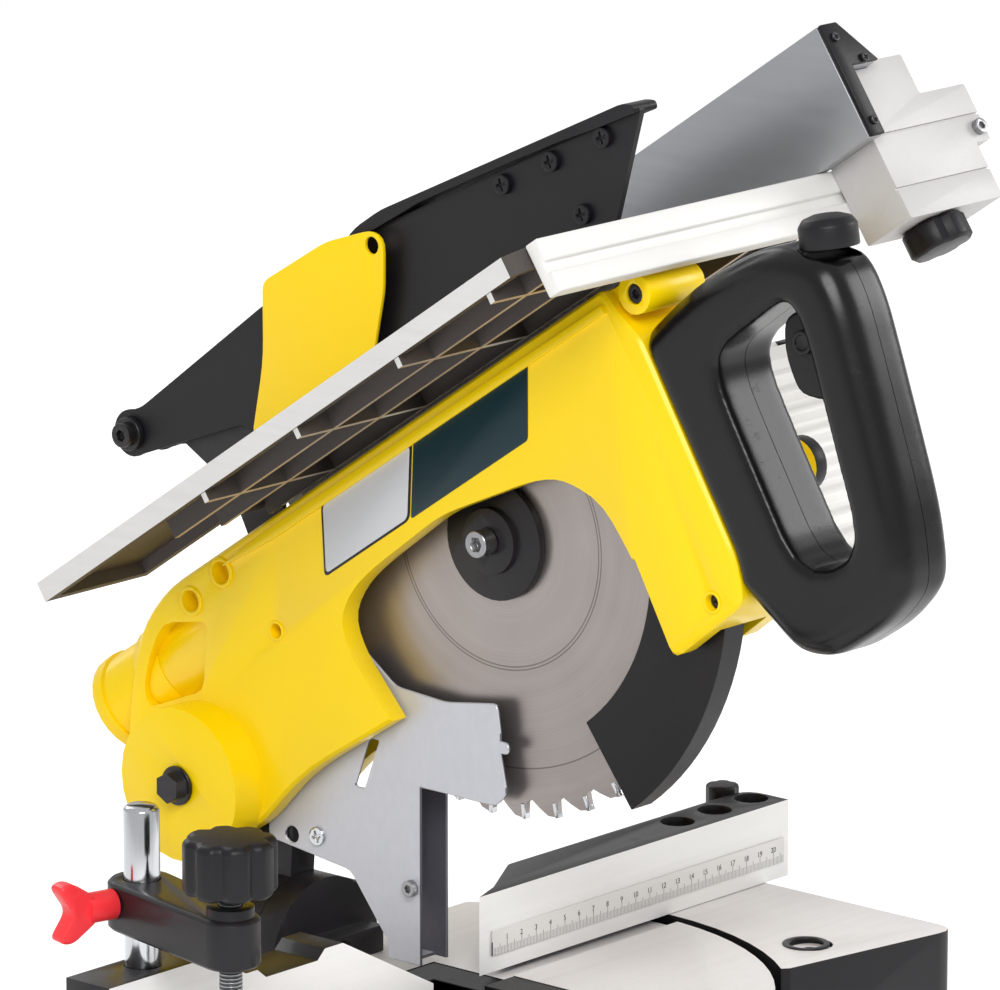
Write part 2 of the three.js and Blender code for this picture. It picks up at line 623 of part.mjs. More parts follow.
function baseCasting() {
  const rimRadius = WELL_RADIUS + BASE_WALL;
  const body = join(prismZ(baseOutline(0), BASE_BOTTOM, 0),
    rodZ(rimRadius, BASE_BOTTOM, -WELL_FLOOR, 0, 0, RIM_SIDES));
  const footPosts = FOOT_PLACES.map(({ x, y }) =>
    rodZ(FOOT_RADIUS * 1.2, BASE_BOTTOM, -BASE_TOP_PLATE / 2, x, y));
  const hollow = cut(
    prismZ(baseOutline(BASE_WALL), BASE_BOTTOM - CUT_OVERRUN, -BASE_TOP_PLATE),
    rodZ(rimRadius, BASE_BOTTOM - 2 * CUT_OVERRUN, CUT_OVERRUN, 0, 0, RIM_SIDES), ...footPosts);
  const well = rodZ(WELL_RADIUS, -WELL_FLOOR, CUT_OVERRUN, 0, 0, RIM_SIDES);
  const underFloor = rodZ(WELL_RADIUS, BASE_BOTTOM - CUT_OVERRUN, -WELL_FLOOR - FLOOR_THICKNESS, 0, 0,
      RIM_SIDES);
  const hub = rodZ(FOOT_RADIUS, BASE_BOTTOM, -WELL_FLOOR);
  const shell = cut(body, hollow, well, armWay(), ...benchHoles());
  return join(cut(shell, underFloor), hub);
}

function armWay() {
  const half = BASE_HALF_WIDTH * 0.6;
  const rear = -WING_INNER_FRONT * 1.116;
  return prismZ(polygon([
    [0, 0], [-half, rear], [-half, -BASE_HALF_WIDTH], [half, -BASE_HALF_WIDTH], [half, rear],
  ]), -WELL_FLOOR, CUT_OVERRUN);
}

function benchHoles() {
  return [-BENCH_HOLE_X, BENCH_HOLE_X].flatMap((x) => [
    rodZ(BENCH_HOLE_RADIUS, -BASE_TOP_PLATE - CUT_OVERRUN, CUT_OVERRUN, x, BENCH_HOLE_Y, SMALL_ROUND),
    rodZ(BENCH_RECESS_RADIUS, -BENCH_RECESS_DEPTH, CUT_OVERRUN, x, BENCH_HOLE_Y),
  ]);
}

function footMeshes() {
  const height = FOOT_HEIGHT - SEAT_GAP;
  return FOOT_PLACES.map(({ name, x, y }) => {
    const foot = turned(scaled(footShares, FOOT_RADIUS, height), SMALL_ROUND);
    foot.translate(x, y, -TABLE_HEIGHT);
    return named(name, foot, RUBBER);
  });
}

// Lower fence: a hollow-backed wall on each side of the kerf, with post holes in its top
function fenceRightPlan() {
  const lobe = FENCE_HOLE_RADIUS * 1.4;
  const endHole = FENCE_HOLE_FIRST + 2 * FENCE_HOLE_PITCH;
  const lobeStart = endHole - 1.6 * lobe;
  return rounded([
    [FENCE_RIGHT_START, 0], [FENCE_RIGHT_END, 0], [FENCE_RIGHT_END, FENCE_HOLE_BACK + lobe, lobe],
    [lobeStart, FENCE_HOLE_BACK + lobe], [lobeStart, FENCE_DEPTH, FENCE_CORNER],
    [FENCE_RIGHT_START + 1.9 * FENCE_DEPTH, FENCE_DEPTH, FENCE_CORNER],
    [FENCE_RIGHT_START + 0.66 * FENCE_DEPTH, 0.25 * FENCE_DEPTH],
  ]);
}

function fenceHole(x) {
  return rodZ(FENCE_HOLE_RADIUS, -CUT_OVERRUN, FENCE_TALL + CUT_OVERRUN, x, FENCE_HOLE_BACK, SMALL_ROUND);
}

function fencePocket(from, to, height) {
  return box(from, to, FENCE_WALL, FENCE_DEPTH + CUT_OVERRUN, FENCE_WALL / 2, height - FENCE_WALL);
}

function fenceRight() {
  const holes = [0, 1, 2].map((index) => fenceHole(FENCE_HOLE_FIRST + index * FENCE_HOLE_PITCH));
  const pocketStart = FENCE_RIGHT_START + 2.2 * FENCE_DEPTH;
  const pocketEnd = FENCE_HOLE_FIRST - 2 * FENCE_HOLE_RADIUS;
  const middle = (pocketStart + pocketEnd) / 2;
  return cut(prismZ(fenceRightPlan(), SEAT_GAP, FENCE_HEIGHT, 0, LOBE_CURVE), ...holes,
    fencePocket(pocketStart, middle - FENCE_WALL / 2, FENCE_HEIGHT),
    fencePocket(middle + FENCE_WALL / 2, pocketEnd, FENCE_HEIGHT));
}

function fenceLeft() {
  const lowStart = -FENCE_LEFT_END * 0.555;
  const lowEnd = -FENCE_LEFT_END * 0.405;
  const kerfSide = -FENCE_RIGHT_START * 0.72;
  const face = polygon([
    [-FENCE_LEFT_END, SEAT_GAP], [kerfSide, SEAT_GAP], [kerfSide, FENCE_WALL / 2],
    [-FENCE_LEFT_END * 0.33, FENCE_MID], [-FENCE_LEFT_END * 0.383, FENCE_MID], [lowEnd, FENCE_LOW],
    [lowStart, FENCE_LOW], [-FENCE_LEFT_END * 0.58, FENCE_MID], [-FENCE_LEFT_END * 0.613, FENCE_MID],
    [-FENCE_LEFT_END * 0.712, FENCE_TALL], [-FENCE_LEFT_END, FENCE_TALL],
  ]);
  const taper = prismZ(polygon([
    [0, 0], [-FENCE_RIGHT_START * 1.7, FENCE_DEPTH * 0.25],
    [-FENCE_RIGHT_START - 1.9 * FENCE_DEPTH, FENCE_DEPTH + CUT_OVERRUN],
    [FENCE_WALL, FENCE_DEPTH + CUT_OVERRUN], [FENCE_WALL, 0],
  ]), -CUT_OVERRUN, FENCE_TALL + CUT_OVERRUN);
  const pocketStart = POST_X + 2.2 * FENCE_HOLE_RADIUS;
  return cut(prismY(face, 0, FENCE_DEPTH), taper, fenceHole(POST_X),
    fencePocket(pocketStart, pocketStart + FENCE_DEPTH, FENCE_MID),
    fencePocket(pocketStart + FENCE_DEPTH + FENCE_WALL, lowEnd, FENCE_LOW));
}

function ruler() {
  return box(FENCE_RIGHT_START + FENCE_WALL, FENCE_RIGHT_END - FENCE_WALL / 2,
    -SEAT_GAP - RULER_THICKNESS, -SEAT_GAP, RULER_BOTTOM, RULER_BOTTOM + RULER_HEIGHT);
}

function fenceKnob() {
  const x = FENCE_RIGHT_END - FENCE_WALL;
  const y = FENCE_DEPTH + FENCE_WALL;
  const grip = fluted(FENCE_WALL, FENCE_WALL / 8, 5);
  const knob = prismZ(grip, FENCE_HEIGHT - FENCE_WALL, FENCE_HEIGHT + FENCE_WALL * 0.4, FINE_EDGE);
  knob.translate(x, y, 0);
  return join(knob, rodZ(FENCE_WALL / 2, SEAT_GAP, FENCE_HEIGHT, x, y, SMALL_ROUND));
}

// Turntable: a disc with a kerf slot, a narrow front arm and a flat rear end
function turntable() {
  const disc = rodZ(TURNTABLE_RADIUS, -TURNTABLE_DEPTH, 0, 0, 0, TURNTABLE_SIDES);
  const rearCut = box(-WELL_RADIUS, WELL_RADIUS, TURNTABLE_BACK, WELL_RADIUS, -TABLE_HEIGHT, CUT_OVERRUN);
  const step = box(-WELL_RADIUS, WELL_RADIUS, -TURNTABLE_STEP_FRONT, WELL_RADIUS, -TURNTABLE_STEP,
      CUT_OVERRUN);
  const hubHole = rodZ(LOCK_ROD_RADIUS + TURN_GAP, -TURNTABLE_DEPTH - CUT_OVERRUN,
      -KERF_DEPTH - JOIN_OVERLAP,
    0, 0, SMALL_ROUND);
  const lockHole = rodY(LOCK_ROD_RADIUS + TURN_GAP, -ARM_FRONT - CUT_OVERRUN,
    -ARM_FRONT + LOCK_KNOB_LENGTH + SEAT_GAP, 0, LOCK_ROD_HEIGHT, SMALL_ROUND);
  const boltWay = rodY(BEVEL_BOLT_RADIUS + TURN_GAP, BEVEL_SUPPORT_FRONT,
    BEVEL_SUPPORT_FRONT + 3 * BEVEL_SUPPORT_DEPTH, 0, 0, SMALL_ROUND);
  return cut(join(disc, turntableArm()), rearCut, step, ...kerfSlots(), hubHole, lockHole, boltWay);
}

function turntableArm() {
  const [topShare, frontShare, rearShare] = armDropShares;
  return prismX(polygon([
    [0, -TURNTABLE_DEPTH], [0, 0], [-ARM_TOP_END, 0], [-ARM_DROP_START * topShare, -ARM_LOW_TOP / 4],
    [-ARM_DROP_START * frontShare, -ARM_LOW_TOP], [-ARM_FRONT, -ARM_LOW_TOP], [-ARM_FRONT, -ARM_LOW_BOTTOM],
    [-ARM_DROP_START * rearShare, -ARM_LOW_BOTTOM], [-ARM_DROP_START, -TURNTABLE_DEPTH],
  ]), -ARM_HALF_WIDTH, ARM_HALF_WIDTH);
}

function kerfSlots() {
  const wide = box(-KERF_LEFT, KERF_RIGHT + KERF_DEPTH / 2, -INSERT_FRONT, KERF_BACK, -KERF_DEPTH,
      CUT_OVERRUN);
  const front = box(-KERF_LEFT, KERF_RIGHT * 0.8, -KERF_FRONT, 0, -KERF_DEPTH, CUT_OVERRUN);
  const seat = box(-INSERT_HALF_WIDTH - SEAT_GAP, INSERT_RIGHT + SEAT_GAP, -INSERT_FRONT - SEAT_GAP,
    KERF_BACK + INSERT_THICKNESS + SEAT_GAP, -INSERT_THICKNESS - SEAT_GAP, CUT_OVERRUN);
  return [wide, front, seat];
}

function kerfInsert() {
  const half = INSERT_HALF_WIDTH + JOIN_OVERLAP;
  const plate = box(-INSERT_HALF_WIDTH, INSERT_RIGHT, -INSERT_FRONT, KERF_BACK + INSERT_THICKNESS,
    -INSERT_THICKNESS, -SEAT_GAP);
  const step = box(-half, INSERT_HALF_WIDTH + KERF_DEPTH, -TURNTABLE_STEP_FRONT,
    KERF_BACK + 2 * INSERT_THICKNESS, -TURNTABLE_STEP - SEAT_GAP, CUT_OVERRUN);
  const kerf = box(-KERF_LEFT * 0.9, KERF_RIGHT * 0.9, -KERF_FRONT, KERF_BACK * 0.6,
    -2 * INSERT_THICKNESS, CUT_OVERRUN);
  return cut(plate, step, kerf);
}

function mitreLockKnob() {
  const front = -ARM_FRONT - SEAT_GAP;
  const grip = fluted(LOCK_KNOB_RADIUS, LOCK_KNOB_RADIUS / 9, 8);
  const knob = prismY(grip, front - LOCK_KNOB_LENGTH, front, BROAD_EDGE);
  knob.translate(0, 0, LOCK_ROD_HEIGHT);
  const rod = rodY(LOCK_ROD_RADIUS, front - LOCK_KNOB_LENGTH / 2, -ARM_FRONT + LOCK_KNOB_LENGTH,
    0, LOCK_ROD_HEIGHT, SMALL_ROUND);
  return join(knob, rod);
}

// Detent lever on the arm's left side, with a thumb paddle
function detentLever() {
  const thickness = DETENT_LEVER_WIDTH / 5;
  const right = -ARM_HALF_WIDTH - SEAT_GAP;
  const back = -ARM_FRONT + DETENT_LEVER_LENGTH;
  const plate = prismX(rounded([
    [back, LOCK_ROD_HEIGHT + thickness], [-ARM_FRONT, LOCK_ROD_HEIGHT + thickness],
    [-ARM_FRONT, LOCK_ROD_HEIGHT - thickness], [back, LOCK_ROD_HEIGHT - thickness],
  ], thickness / 2), right - thickness, right);
  const paddle = box(right - DETENT_LEVER_WIDTH, right, -ARM_FRONT, -ARM_FRONT + DETENT_LEVER_WIDTH / 2,
    LOCK_ROD_HEIGHT, LOCK_ROD_HEIGHT + thickness);
  return join(plate, paddle);
}

// Bevel joint behind the fence: a fixed support on the turntable and a tilting bracket
function bevelSupport() {
  const back = BEVEL_SUPPORT_FRONT + BEVEL_SUPPORT_DEPTH;
  const floor = -TURNTABLE_STEP + SEAT_GAP;
  const boltRoom = BEVEL_BOLT_RADIUS + TURN_GAP;
  const disc = rodY(BEVEL_RADIUS, BEVEL_SUPPORT_FRONT, back);
  const flange = box(-BEVEL_RADIUS * 0.75, BEVEL_RADIUS * 0.75,
      BEVEL_SUPPORT_FRONT - BEVEL_SUPPORT_DEPTH * 0.8,
    back, floor, BEVEL_SUPPORT_DEPTH * 0.7);
  const below = box(-2 * BEVEL_RADIUS, 2 * BEVEL_RADIUS, 0, back + CUT_OVERRUN, -TABLE_HEIGHT, floor);
  return cut(join(disc, flange), below, rodY(boltRoom, 0, back + CUT_OVERRUN, 0, 0, SMALL_ROUND),
    box(-boltRoom, boltRoom, 0, back + CUT_OVERRUN, -TABLE_HEIGHT, 0));
}

function bevelBracket() {
  const neckBack = BEVEL_DISC_BACK + LUG_RADIUS * 0.5;
  const disc = rodY(BEVEL_RADIUS, BEVEL_DISC_FRONT, BEVEL_DISC_BACK);
  const neck = prismX(polygon([
    [BEVEL_DISC_FRONT, 0], [BEVEL_DISC_FRONT, BEVEL_RADIUS],
    [PIVOT_BACK - 1.4 * LUG_RADIUS, PIVOT_HEIGHT - LUG_RADIUS * 0.2],
    [PIVOT_BACK - 0.9 * LUG_RADIUS, PIVOT_HEIGHT + LUG_RADIUS * 0.3], [PIVOT_BACK, PIVOT_HEIGHT],
    [PIVOT_BACK + 0.8 * LUG_RADIUS, PIVOT_HEIGHT - 0.6 * LUG_RADIUS],
    [neckBack, BEVEL_RADIUS * 0.5], [neckBack, 0],
  ]), -LUG_LEFT, LUG_RIGHT);
  const shoulder = prismX(polygon([
    [BEVEL_DISC_FRONT, -BEVEL_RADIUS * 0.3], [BEVEL_DISC_FRONT, BEVEL_RADIUS * 0.8],
    [BEVEL_DISC_BACK + LUG_RADIUS * 0.3, BEVEL_RADIUS * 0.6],
    [BEVEL_DISC_BACK + LUG_RADIUS * 0.4, BEVEL_RADIUS * 0.35], [BEVEL_DISC_BACK, BEVEL_RADIUS * 0.35],
  ]), -BEVEL_RADIUS * 0.65, BEVEL_RADIUS * 0.65);
  const lug = rodX(LUG_RADIUS, -LUG_LEFT, LUG_RIGHT, PIVOT_BACK, PIVOT_HEIGHT);
  return cut(join(disc, neck, shoulder, lug),
    rodX(PIVOT_SHAFT_RADIUS + SEAT_GAP, -PIVOT_BACK, PIVOT_BACK, PIVOT_BACK, PIVOT_HEIGHT),
    rodY(BEVEL_BOLT_RADIUS + TURN_GAP, 0, BEVEL_DISC_BACK + LUG_RADIUS));
}

function bevelBolt() {
  return rodY(BEVEL_BOLT_RADIUS, BEVEL_SUPPORT_FRONT + TURN_GAP,
    BEVEL_DISC_BACK + LUG_RADIUS * 0.5 + BEVEL_LEVER_THICKNESS, 0, 0, SMALL_ROUND);
}

function bevelLever() {
  const front = BEVEL_DISC_BACK + LUG_RADIUS * 0.5 + SEAT_GAP;
  const thickness = BEVEL_LEVER_THICKNESS;
  const arm = prismY(rounded([
    [0, -thickness], [BEVEL_LEVER_LENGTH, -thickness * 0.5], [BEVEL_LEVER_LENGTH, thickness * 1.2],
    [0, thickness],
  ], thickness / 2), front, front + thickness);
  const hub = rodY(BEVEL_BOLT_RADIUS * 1.9, front, front + thickness * 1.3);
  return cut(join(arm, hub), rodY(BEVEL_BOLT_RADIUS + TURN_GAP, 0, front + thickness * 2, 0, 0,
      SMALL_ROUND));
}

// Grey sheet bracket: a side plate with a blade channel behind the fence, fixed to the bracket's lug
function guardBracket() {
  const left = -CHANNEL_HALF_WIDTH - SHEET_THICKNESS;
  const channelBack = CHANNEL_FRONT + CHANNEL_DEPTH;
  const outline = [...scaled(bracketShares, PIVOT_BACK, PIVOT_HEIGHT), [CHANNEL_FRONT, PIVOT_HEIGHT * 1.19],
    [CHANNEL_FRONT, CHANNEL_BOTTOM, BRACKET_CORNER],
    [CHANNEL_FRONT + CHANNEL_DEPTH * 0.7, CHANNEL_BOTTOM, BRACKET_CORNER],
    [PIVOT_BACK * 0.41, PIVOT_HEIGHT * 0.59, BRACKET_CORNER]];
  const plate = prismX(rounded(outline), left, -CHANNEL_HALF_WIDTH, 0, COARSE_CURVE);
  const rightFlange = box(CHANNEL_HALF_WIDTH, CHANNEL_HALF_WIDTH + SHEET_THICKNESS, CHANNEL_FRONT,
    channelBack, CHANNEL_BOTTOM, CHANNEL_TOP);
  const channelFloor = box(left, CHANNEL_HALF_WIDTH + SHEET_THICKNESS, CHANNEL_FRONT + CHANNEL_DEPTH * 0.35,
    channelBack, CHANNEL_BOTTOM, CHANNEL_BOTTOM + SHEET_THICKNESS);
  const gusset = prismX(polygon([
    [CHANNEL_FRONT, CHANNEL_BOTTOM], [channelBack, CHANNEL_BOTTOM],
    [channelBack, CHANNEL_BOTTOM + CHANNEL_DEPTH], [CHANNEL_FRONT, CHANNEL_TOP],
  ]), left, -CHANNEL_HALF_WIDTH);
  const slotBack = PIVOT_BACK * 0.385;
  const slotTop = CHANNEL_TOP * 1.28;
  const slot = prismX(rounded([
    [slotBack, CHANNEL_TOP], [slotBack - 4 * SHEET_THICKNESS, CHANNEL_TOP],
    [slotBack - 10 * SHEET_THICKNESS, slotTop], [slotBack - 6 * SHEET_THICKNESS, slotTop],
  ], SHEET_THICKNESS), left - CUT_OVERRUN, 0, 0, COARSE_CURVE);
  return cut(join(plate, gusset, channelFloor, rightFlange), slot,
    rodX(PIVOT_SHAFT_RADIUS / 2, left - CUT_OVERRUN, 0, PIVOT_BACK * 0.68, PIVOT_HEIGHT * 0.72,
        SMALL_ROUND));
}

function pivotShaft() {
  const radius = PIVOT_SHAFT_RADIUS;
  const seat = -PIVOT_BOSS_LEFT - SEAT_GAP;
  const head = new THREE.CylinderGeometry(radius * 0.92, radius * 0.92, radius * 0.8, 6);
  head.rotateZ(-Math.PI / 2);
  head.translate(seat - radius * 0.55, 0, 0);
  const washer = rodX(radius * 1.15, seat - radius * 0.2, seat);
  const shaft = rodX(radius, seat - JOIN_OVERLAP, CASTING_RIGHT + radius);
  const pin = join(shaft, washer, head);
  pin.translate(0, PIVOT_BACK, PIVOT_HEIGHT);
  return pin;
}

// Torsion spring round the pivot shaft: one unbroken coil
function returnSpring() {
  const start = LUG_RIGHT + SEAT_GAP + SPRING_WIRE;
  const rise = (CAVITY_RIGHT - SEAT_GAP - SPRING_WIRE - start) / SPRING_CURLS;
  const steps = SPRING_CURLS * SPRING_STEPS;
  const middles = [];
  const positions = [];
  for (let step = 0; step <= steps; step++) {
    const turn = (2 * Math.PI * step) / SPRING_STEPS;
    const along = start + (rise * step) / SPRING_STEPS;
    middles.push([along, SPRING_RADIUS * Math.cos(turn), SPRING_RADIUS * Math.sin(turn)]);
    for (let side = 0; side < SPRING_SIDES; side++) {
      const angle = (2 * Math.PI * side) / SPRING_SIDES;
      const reach = SPRING_RADIUS + SPRING_WIRE * Math.cos(angle);
      positions.push(along + SPRING_WIRE * Math.sin(angle), PIVOT_BACK + reach * Math.cos(turn),
        PIVOT_HEIGHT + reach * Math.sin(turn));
    }
  }
  console.log(`return spring: least gap to itself ${springGap(middles).toFixed(2)} mm`);
  const geometry = new THREE.BufferGeometry();
  geometry.setAttribute('position', new THREE.BufferAttribute(new Float32Array(positions), 3));
  geometry.setIndex(springFaces(steps));
  geometry.computeVertexNormals();
  return geometry;
}

function springFaces(steps) {
  const faces = [];
  for (let step = 0; step < steps; step++) {
    for (let side = 0; side < SPRING_SIDES; side++) {
      const here = step * SPRING_SIDES + side;
      const next = step * SPRING_SIDES + ((side + 1) % SPRING_SIDES);
      faces.push(here, next + SPRING_SIDES, next, here, here + SPRING_SIDES, next + SPRING_SIDES);
    }
  }
  const end = steps * SPRING_SIDES;
  for (let side = 1; side < SPRING_SIDES - 1; side++) {
    faces.push(0, side, side + 1);
    faces.push(end, end + side + 1, end + side);
  }
  return faces;
}

// Least distance between the wire's surfaces, from points half a curl or more apart
function springGap(middles) {
  let least = Infinity;
  middles.forEach((first, index) => {
    middles.slice(index + SPRING_STEPS / 2).forEach((second) => {
      least = Math.min(least, Math.hypot(first[0] - second[0], first[1] - second[1], first[2] - second[2]));
    });
  });
  return least - 2 * SPRING_WIRE;
}

// Head pieces: Y and Z are measured from the arbor axis, in the head's own frame
function castingCavity() {
  const wide = 2 * BLADE_RADIUS;
  const bladeRoom = rodX(GUARD_RADIUS + RUN_GAP, -CAVITY_LEFT, CAVITY_RIGHT, 0, 0, GUARD_SIDES);
  const above = box(-2 * CASTING_RIGHT, 2 * CASTING_RIGHT, -wide, wide, CAVITY_TOP, wide);
  const middle = prismX(polygon([
    [0, CAVITY_TOP], [PIVOT_Y * 0.72, CAVITY_TOP], [PIVOT_Y * 0.885, CAVITY_TOP * 0.32], [PIVOT_Y, PIVOT_Z],
    [PIVOT_Y * 1.45, PIVOT_Z - PIVOT_CAVITY_RADIUS * 0.6], [PIVOT_Y * 1.45, -2 * CASTING_TOP],
    [0, -2 * CASTING_TOP],
  ]), -CAVITY_LEFT, CAVITY_RIGHT);
  const pivotRoom = rodX(PIVOT_CAVITY_RADIUS, -CAVITY_LEFT, CAVITY_RIGHT, PIVOT_Y, PIVOT_Z);
  return join(cut(bladeRoom, above), middle, pivotRoom);
}

function headCasting() {
  const shell = cut(join(castingOutside(), ...columnBosses()), castingCavity());
  const arborBoss = rodX(BEARING_RADIUS + ARBOR_BOSS_WALL, CAVITY_RIGHT - ARBOR_BOSS_DEPTH,
      CASTING_RIGHT - JOIN_OVERLAP);
  const collar = rodX(GUARD_HUB_RADIUS - TURN_GAP, GUARD_HALF_WIDTH - GUARD_WALL,
      CAVITY_RIGHT + JOIN_OVERLAP);
  return cut(join(shell, arborBoss, collar), ...castingWindows(), ...castingBores(), ...castingHoles());
}

function castingOutside() {
  const outer = prismX(headOutline(castingOutlineShares), -CASTING_LEFT, CASTING_RIGHT, SOFT_EDGE,
      CORNER_CURVE);
  const boss = rodX(PIVOT_BOSS_RADIUS, -PIVOT_BOSS_LEFT, -CASTING_LEFT + JOIN_OVERLAP, PIVOT_Y, PIVOT_Z);
  const rightBoss = rodX(PIVOT_BOSS_RADIUS * 0.45, CASTING_RIGHT - JOIN_OVERLAP,
      CASTING_RIGHT + RIGHT_BOSS_PROUD,
    PIVOT_Y, PIVOT_Z);
  const lugY = lugHoleShares[0] * ARBOR_REACH;
  const lugZ = lugHoleShares[1] * CASTING_TOP;
  const lug = rodX(CASTING_TOP * 0.145, -CASTING_LEFT * 0.9, HANDLE_RIGHT, lugY, lugZ);
  const lugWeb = box(-CASTING_LEFT * 0.7, HANDLE_RIGHT, lugY, -ARBOR_REACH * 0.64,
    CASTING_TOP * 0.75, CASTING_TOP * 0.98);
  const ridge = prismX(headOutline(ridgeShares), -CASTING_LEFT - RIDGE_PROUD, -CASTING_LEFT + RIDGE_PROUD);
  const portBoss = rodY(DUST_PORT_RADIUS + DUST_PORT_WALL * 0.8, ARBOR_REACH * 0.93, ARBOR_REACH * 1.07,
    DUST_PORT_SIDE, DUST_PORT_HEIGHT);
  return join(outer, boss, rightBoss, lug, lugWeb, ridge, portBoss);
}

function columnBosses() {
  return COLUMN_PLACES.map((y) => rodZ(COLUMN_BOSS_RADIUS, CASTING_TOP * 0.4, CASTING_TOP, COLUMN_X, y));
}

// The arch on the operator's side, the slots for blade and knife, the pocket and the dust way
function castingWindows() {
  const outside = -CASTING_LEFT - CUT_OVERRUN;
  const arch = prismX(headOutline(archShares), outside, -CAVITY_LEFT + JOIN_OVERLAP, 0, CORNER_CURVE);
  const slotHalf = BLADE_THICKNESS + RUN_GAP;
  const slotBottom = CAVITY_TOP - JOIN_OVERLAP;
  const slotTop = CASTING_TOP + CUT_OVERRUN;
  const bladeSlot = box(-slotHalf, slotHalf, -BLADE_RADIUS * 0.95, BLADE_RADIUS * 0.93, slotBottom,
      slotTop);
  const knifeHalf = KNIFE_THICKNESS / 2 + SEAT_GAP;
  const knifeSlot = box(-knifeHalf, knifeHalf, BLADE_RADIUS * 0.9, BLADE_RADIUS * 1.22, slotBottom,
      slotTop);
  const ductWall = rodY(DUST_PORT_RADIUS - SEAT_GAP, 0, 2 * ARBOR_REACH, DUST_PORT_SIDE, DUST_PORT_HEIGHT);
  const pocket = cut(prismX(headOutline(pocketShares), outside, -POCKET_FLOOR, 0, COARSE_CURVE), ductWall);
  const portSeat = rodY(DUST_PORT_RADIUS + SEAT_GAP, ARBOR_REACH - SEAT_GAP, 2 * ARBOR_REACH,
    DUST_PORT_SIDE, DUST_PORT_HEIGHT);
  const duct = rodY(DUST_PORT_RADIUS - DUST_PORT_WALL, ARBOR_REACH * 0.7, 2 * ARBOR_REACH,
    DUST_PORT_SIDE, DUST_PORT_HEIGHT);
  return [arch, bladeSlot, knifeSlot, pocket, portSeat, duct];
}

function castingBores() {
  const through = CASTING_RIGHT + CUT_OVERRUN;
  const bearingBore = rodX(BEARING_RADIUS + SEAT_GAP, CASTING_RIGHT - BEARING_WIDTH - SEAT_GAP, through);
  const arborBore = rodX(ARBOR_RADIUS + TURN_GAP, 0, through);
  const pivotBore = rodX(PIVOT_SHAFT_RADIUS + TURN_GAP, -2 * PIVOT_BOSS_LEFT, 2 * PIVOT_BOSS_LEFT, PIVOT_Y,
      PIVOT_Z);
  const columnBores = COLUMN_PLACES.map((y) =>
    rodZ(COLUMN_RADIUS + TURN_GAP, 0, CASTING_TOP + CUT_OVERRUN, COLUMN_X, y, SMALL_ROUND));
  const latchBore = rodX(LATCH_RADIUS + TURN_GAP, CAVITY_RIGHT - CUT_OVERRUN,
      CASTING_RIGHT + 2 * CUT_OVERRUN,
    LATCH_Y, LATCH_Z, SMALL_ROUND);
  const lockBore = rodX(SMALL_ROD_RADIUS + TURN_GAP, COLUMN_X + COLUMN_RADIUS,
      COLUMN_X + 2 * COLUMN_BOSS_RADIUS,
    COLUMN_PLACES[1], CASTING_TOP * 0.6, SMALL_ROUND);
  return [bearingBore, arborBore, pivotBore, latchBore, lockBore, ...columnBores];
}

function castingHoles() {
  const inner = -CAVITY_LEFT - CASTING_SKIN / 4;
  const holes = castingHoleShares.map(([y, z, r]) => rodX(r * CASTING_TOP, -CASTING_LEFT - CUT_OVERRUN,
      inner,
    y * ARBOR_REACH, z * CASTING_TOP, SMALL_ROUND));
  const [lugY, lugZ, lugRadius] = lugHoleShares;
  return [...holes, rodX(lugRadius * CASTING_TOP, -2 * CASTING_LEFT, 0, lugY * ARBOR_REACH,
      lugZ * CASTING_TOP,
    SMALL_ROUND)];
}

function dustPort() {
  const end = ARBOR_REACH + DUST_PORT_LENGTH;
  const outer = rodY(DUST_PORT_RADIUS, ARBOR_REACH, end, DUST_PORT_SIDE, DUST_PORT_HEIGHT);
  const lip = rodY(DUST_PORT_RADIUS + DUST_PORT_LIP, ARBOR_REACH + DUST_PORT_LENGTH * 0.86, end,
    DUST_PORT_SIDE, DUST_PORT_HEIGHT);
  const bore = rodY(DUST_PORT_RADIUS - DUST_PORT_WALL, 0, 2 * ARBOR_REACH, DUST_PORT_SIDE,
      DUST_PORT_HEIGHT);
  return cut(join(outer, lip), bore);
}

function latchPin() {
  const end = CASTING_RIGHT + LATCH_KNOB_LENGTH;
  const pin = rodX(LATCH_RADIUS, CAVITY_RIGHT, end, LATCH_Y, LATCH_Z, SMALL_ROUND);
  const knob = rodX(LATCH_RADIUS * 2.2, CASTING_RIGHT + SEAT_GAP, end, LATCH_Y, LATCH_Z, SMALL_ROUND);
  return join(pin, knob);
}

// Two circles wrapped by one outline, from the arbor to the motor axis
function wrapOutline(firstRadius, secondRadius, u = MOTOR_BACK, v = MOTOR_RISE) {
  const distance = Math.hypot(u, v);
  const heading = Math.atan2(v, u);
  const tangent = Math.acos((firstRadius - secondRadius) / distance);
  const shape = new THREE.Shape();
  shape.absarc(0, 0, firstRadius, heading + tangent, heading + 2 * Math.PI - tangent, false);
  shape.absarc(u, v, secondRadius, heading - tangent, heading + tangent, false);
  shape.closePath();
  return shape;
}

function driveCover() {
  const arborSide = BEARING_RADIUS * 2;
  const motorSide = MOTOR_RADIUS * 0.8;
  const outer = prismX(wrapOutline(arborSide, motorSide), COVER_LEFT, COVER_RIGHT, SOFT_EDGE, WRAP_CURVE);
  const inner = prismX(wrapOutline(arborSide - DRIVE_COVER_WALL, motorSide - DRIVE_COVER_WALL),
    COVER_LEFT - CUT_OVERRUN, COVER_RIGHT - DRIVE_COVER_WALL, 0, WRAP_CURVE);
  const shaftHole = rodX(MOTOR_SHAFT_RADIUS + TURN_GAP, COVER_LEFT, COVER_RIGHT + CUT_OVERRUN,
    MOTOR_BACK, MOTOR_RISE);
  return cut(outer, inner, shaftHole);
}

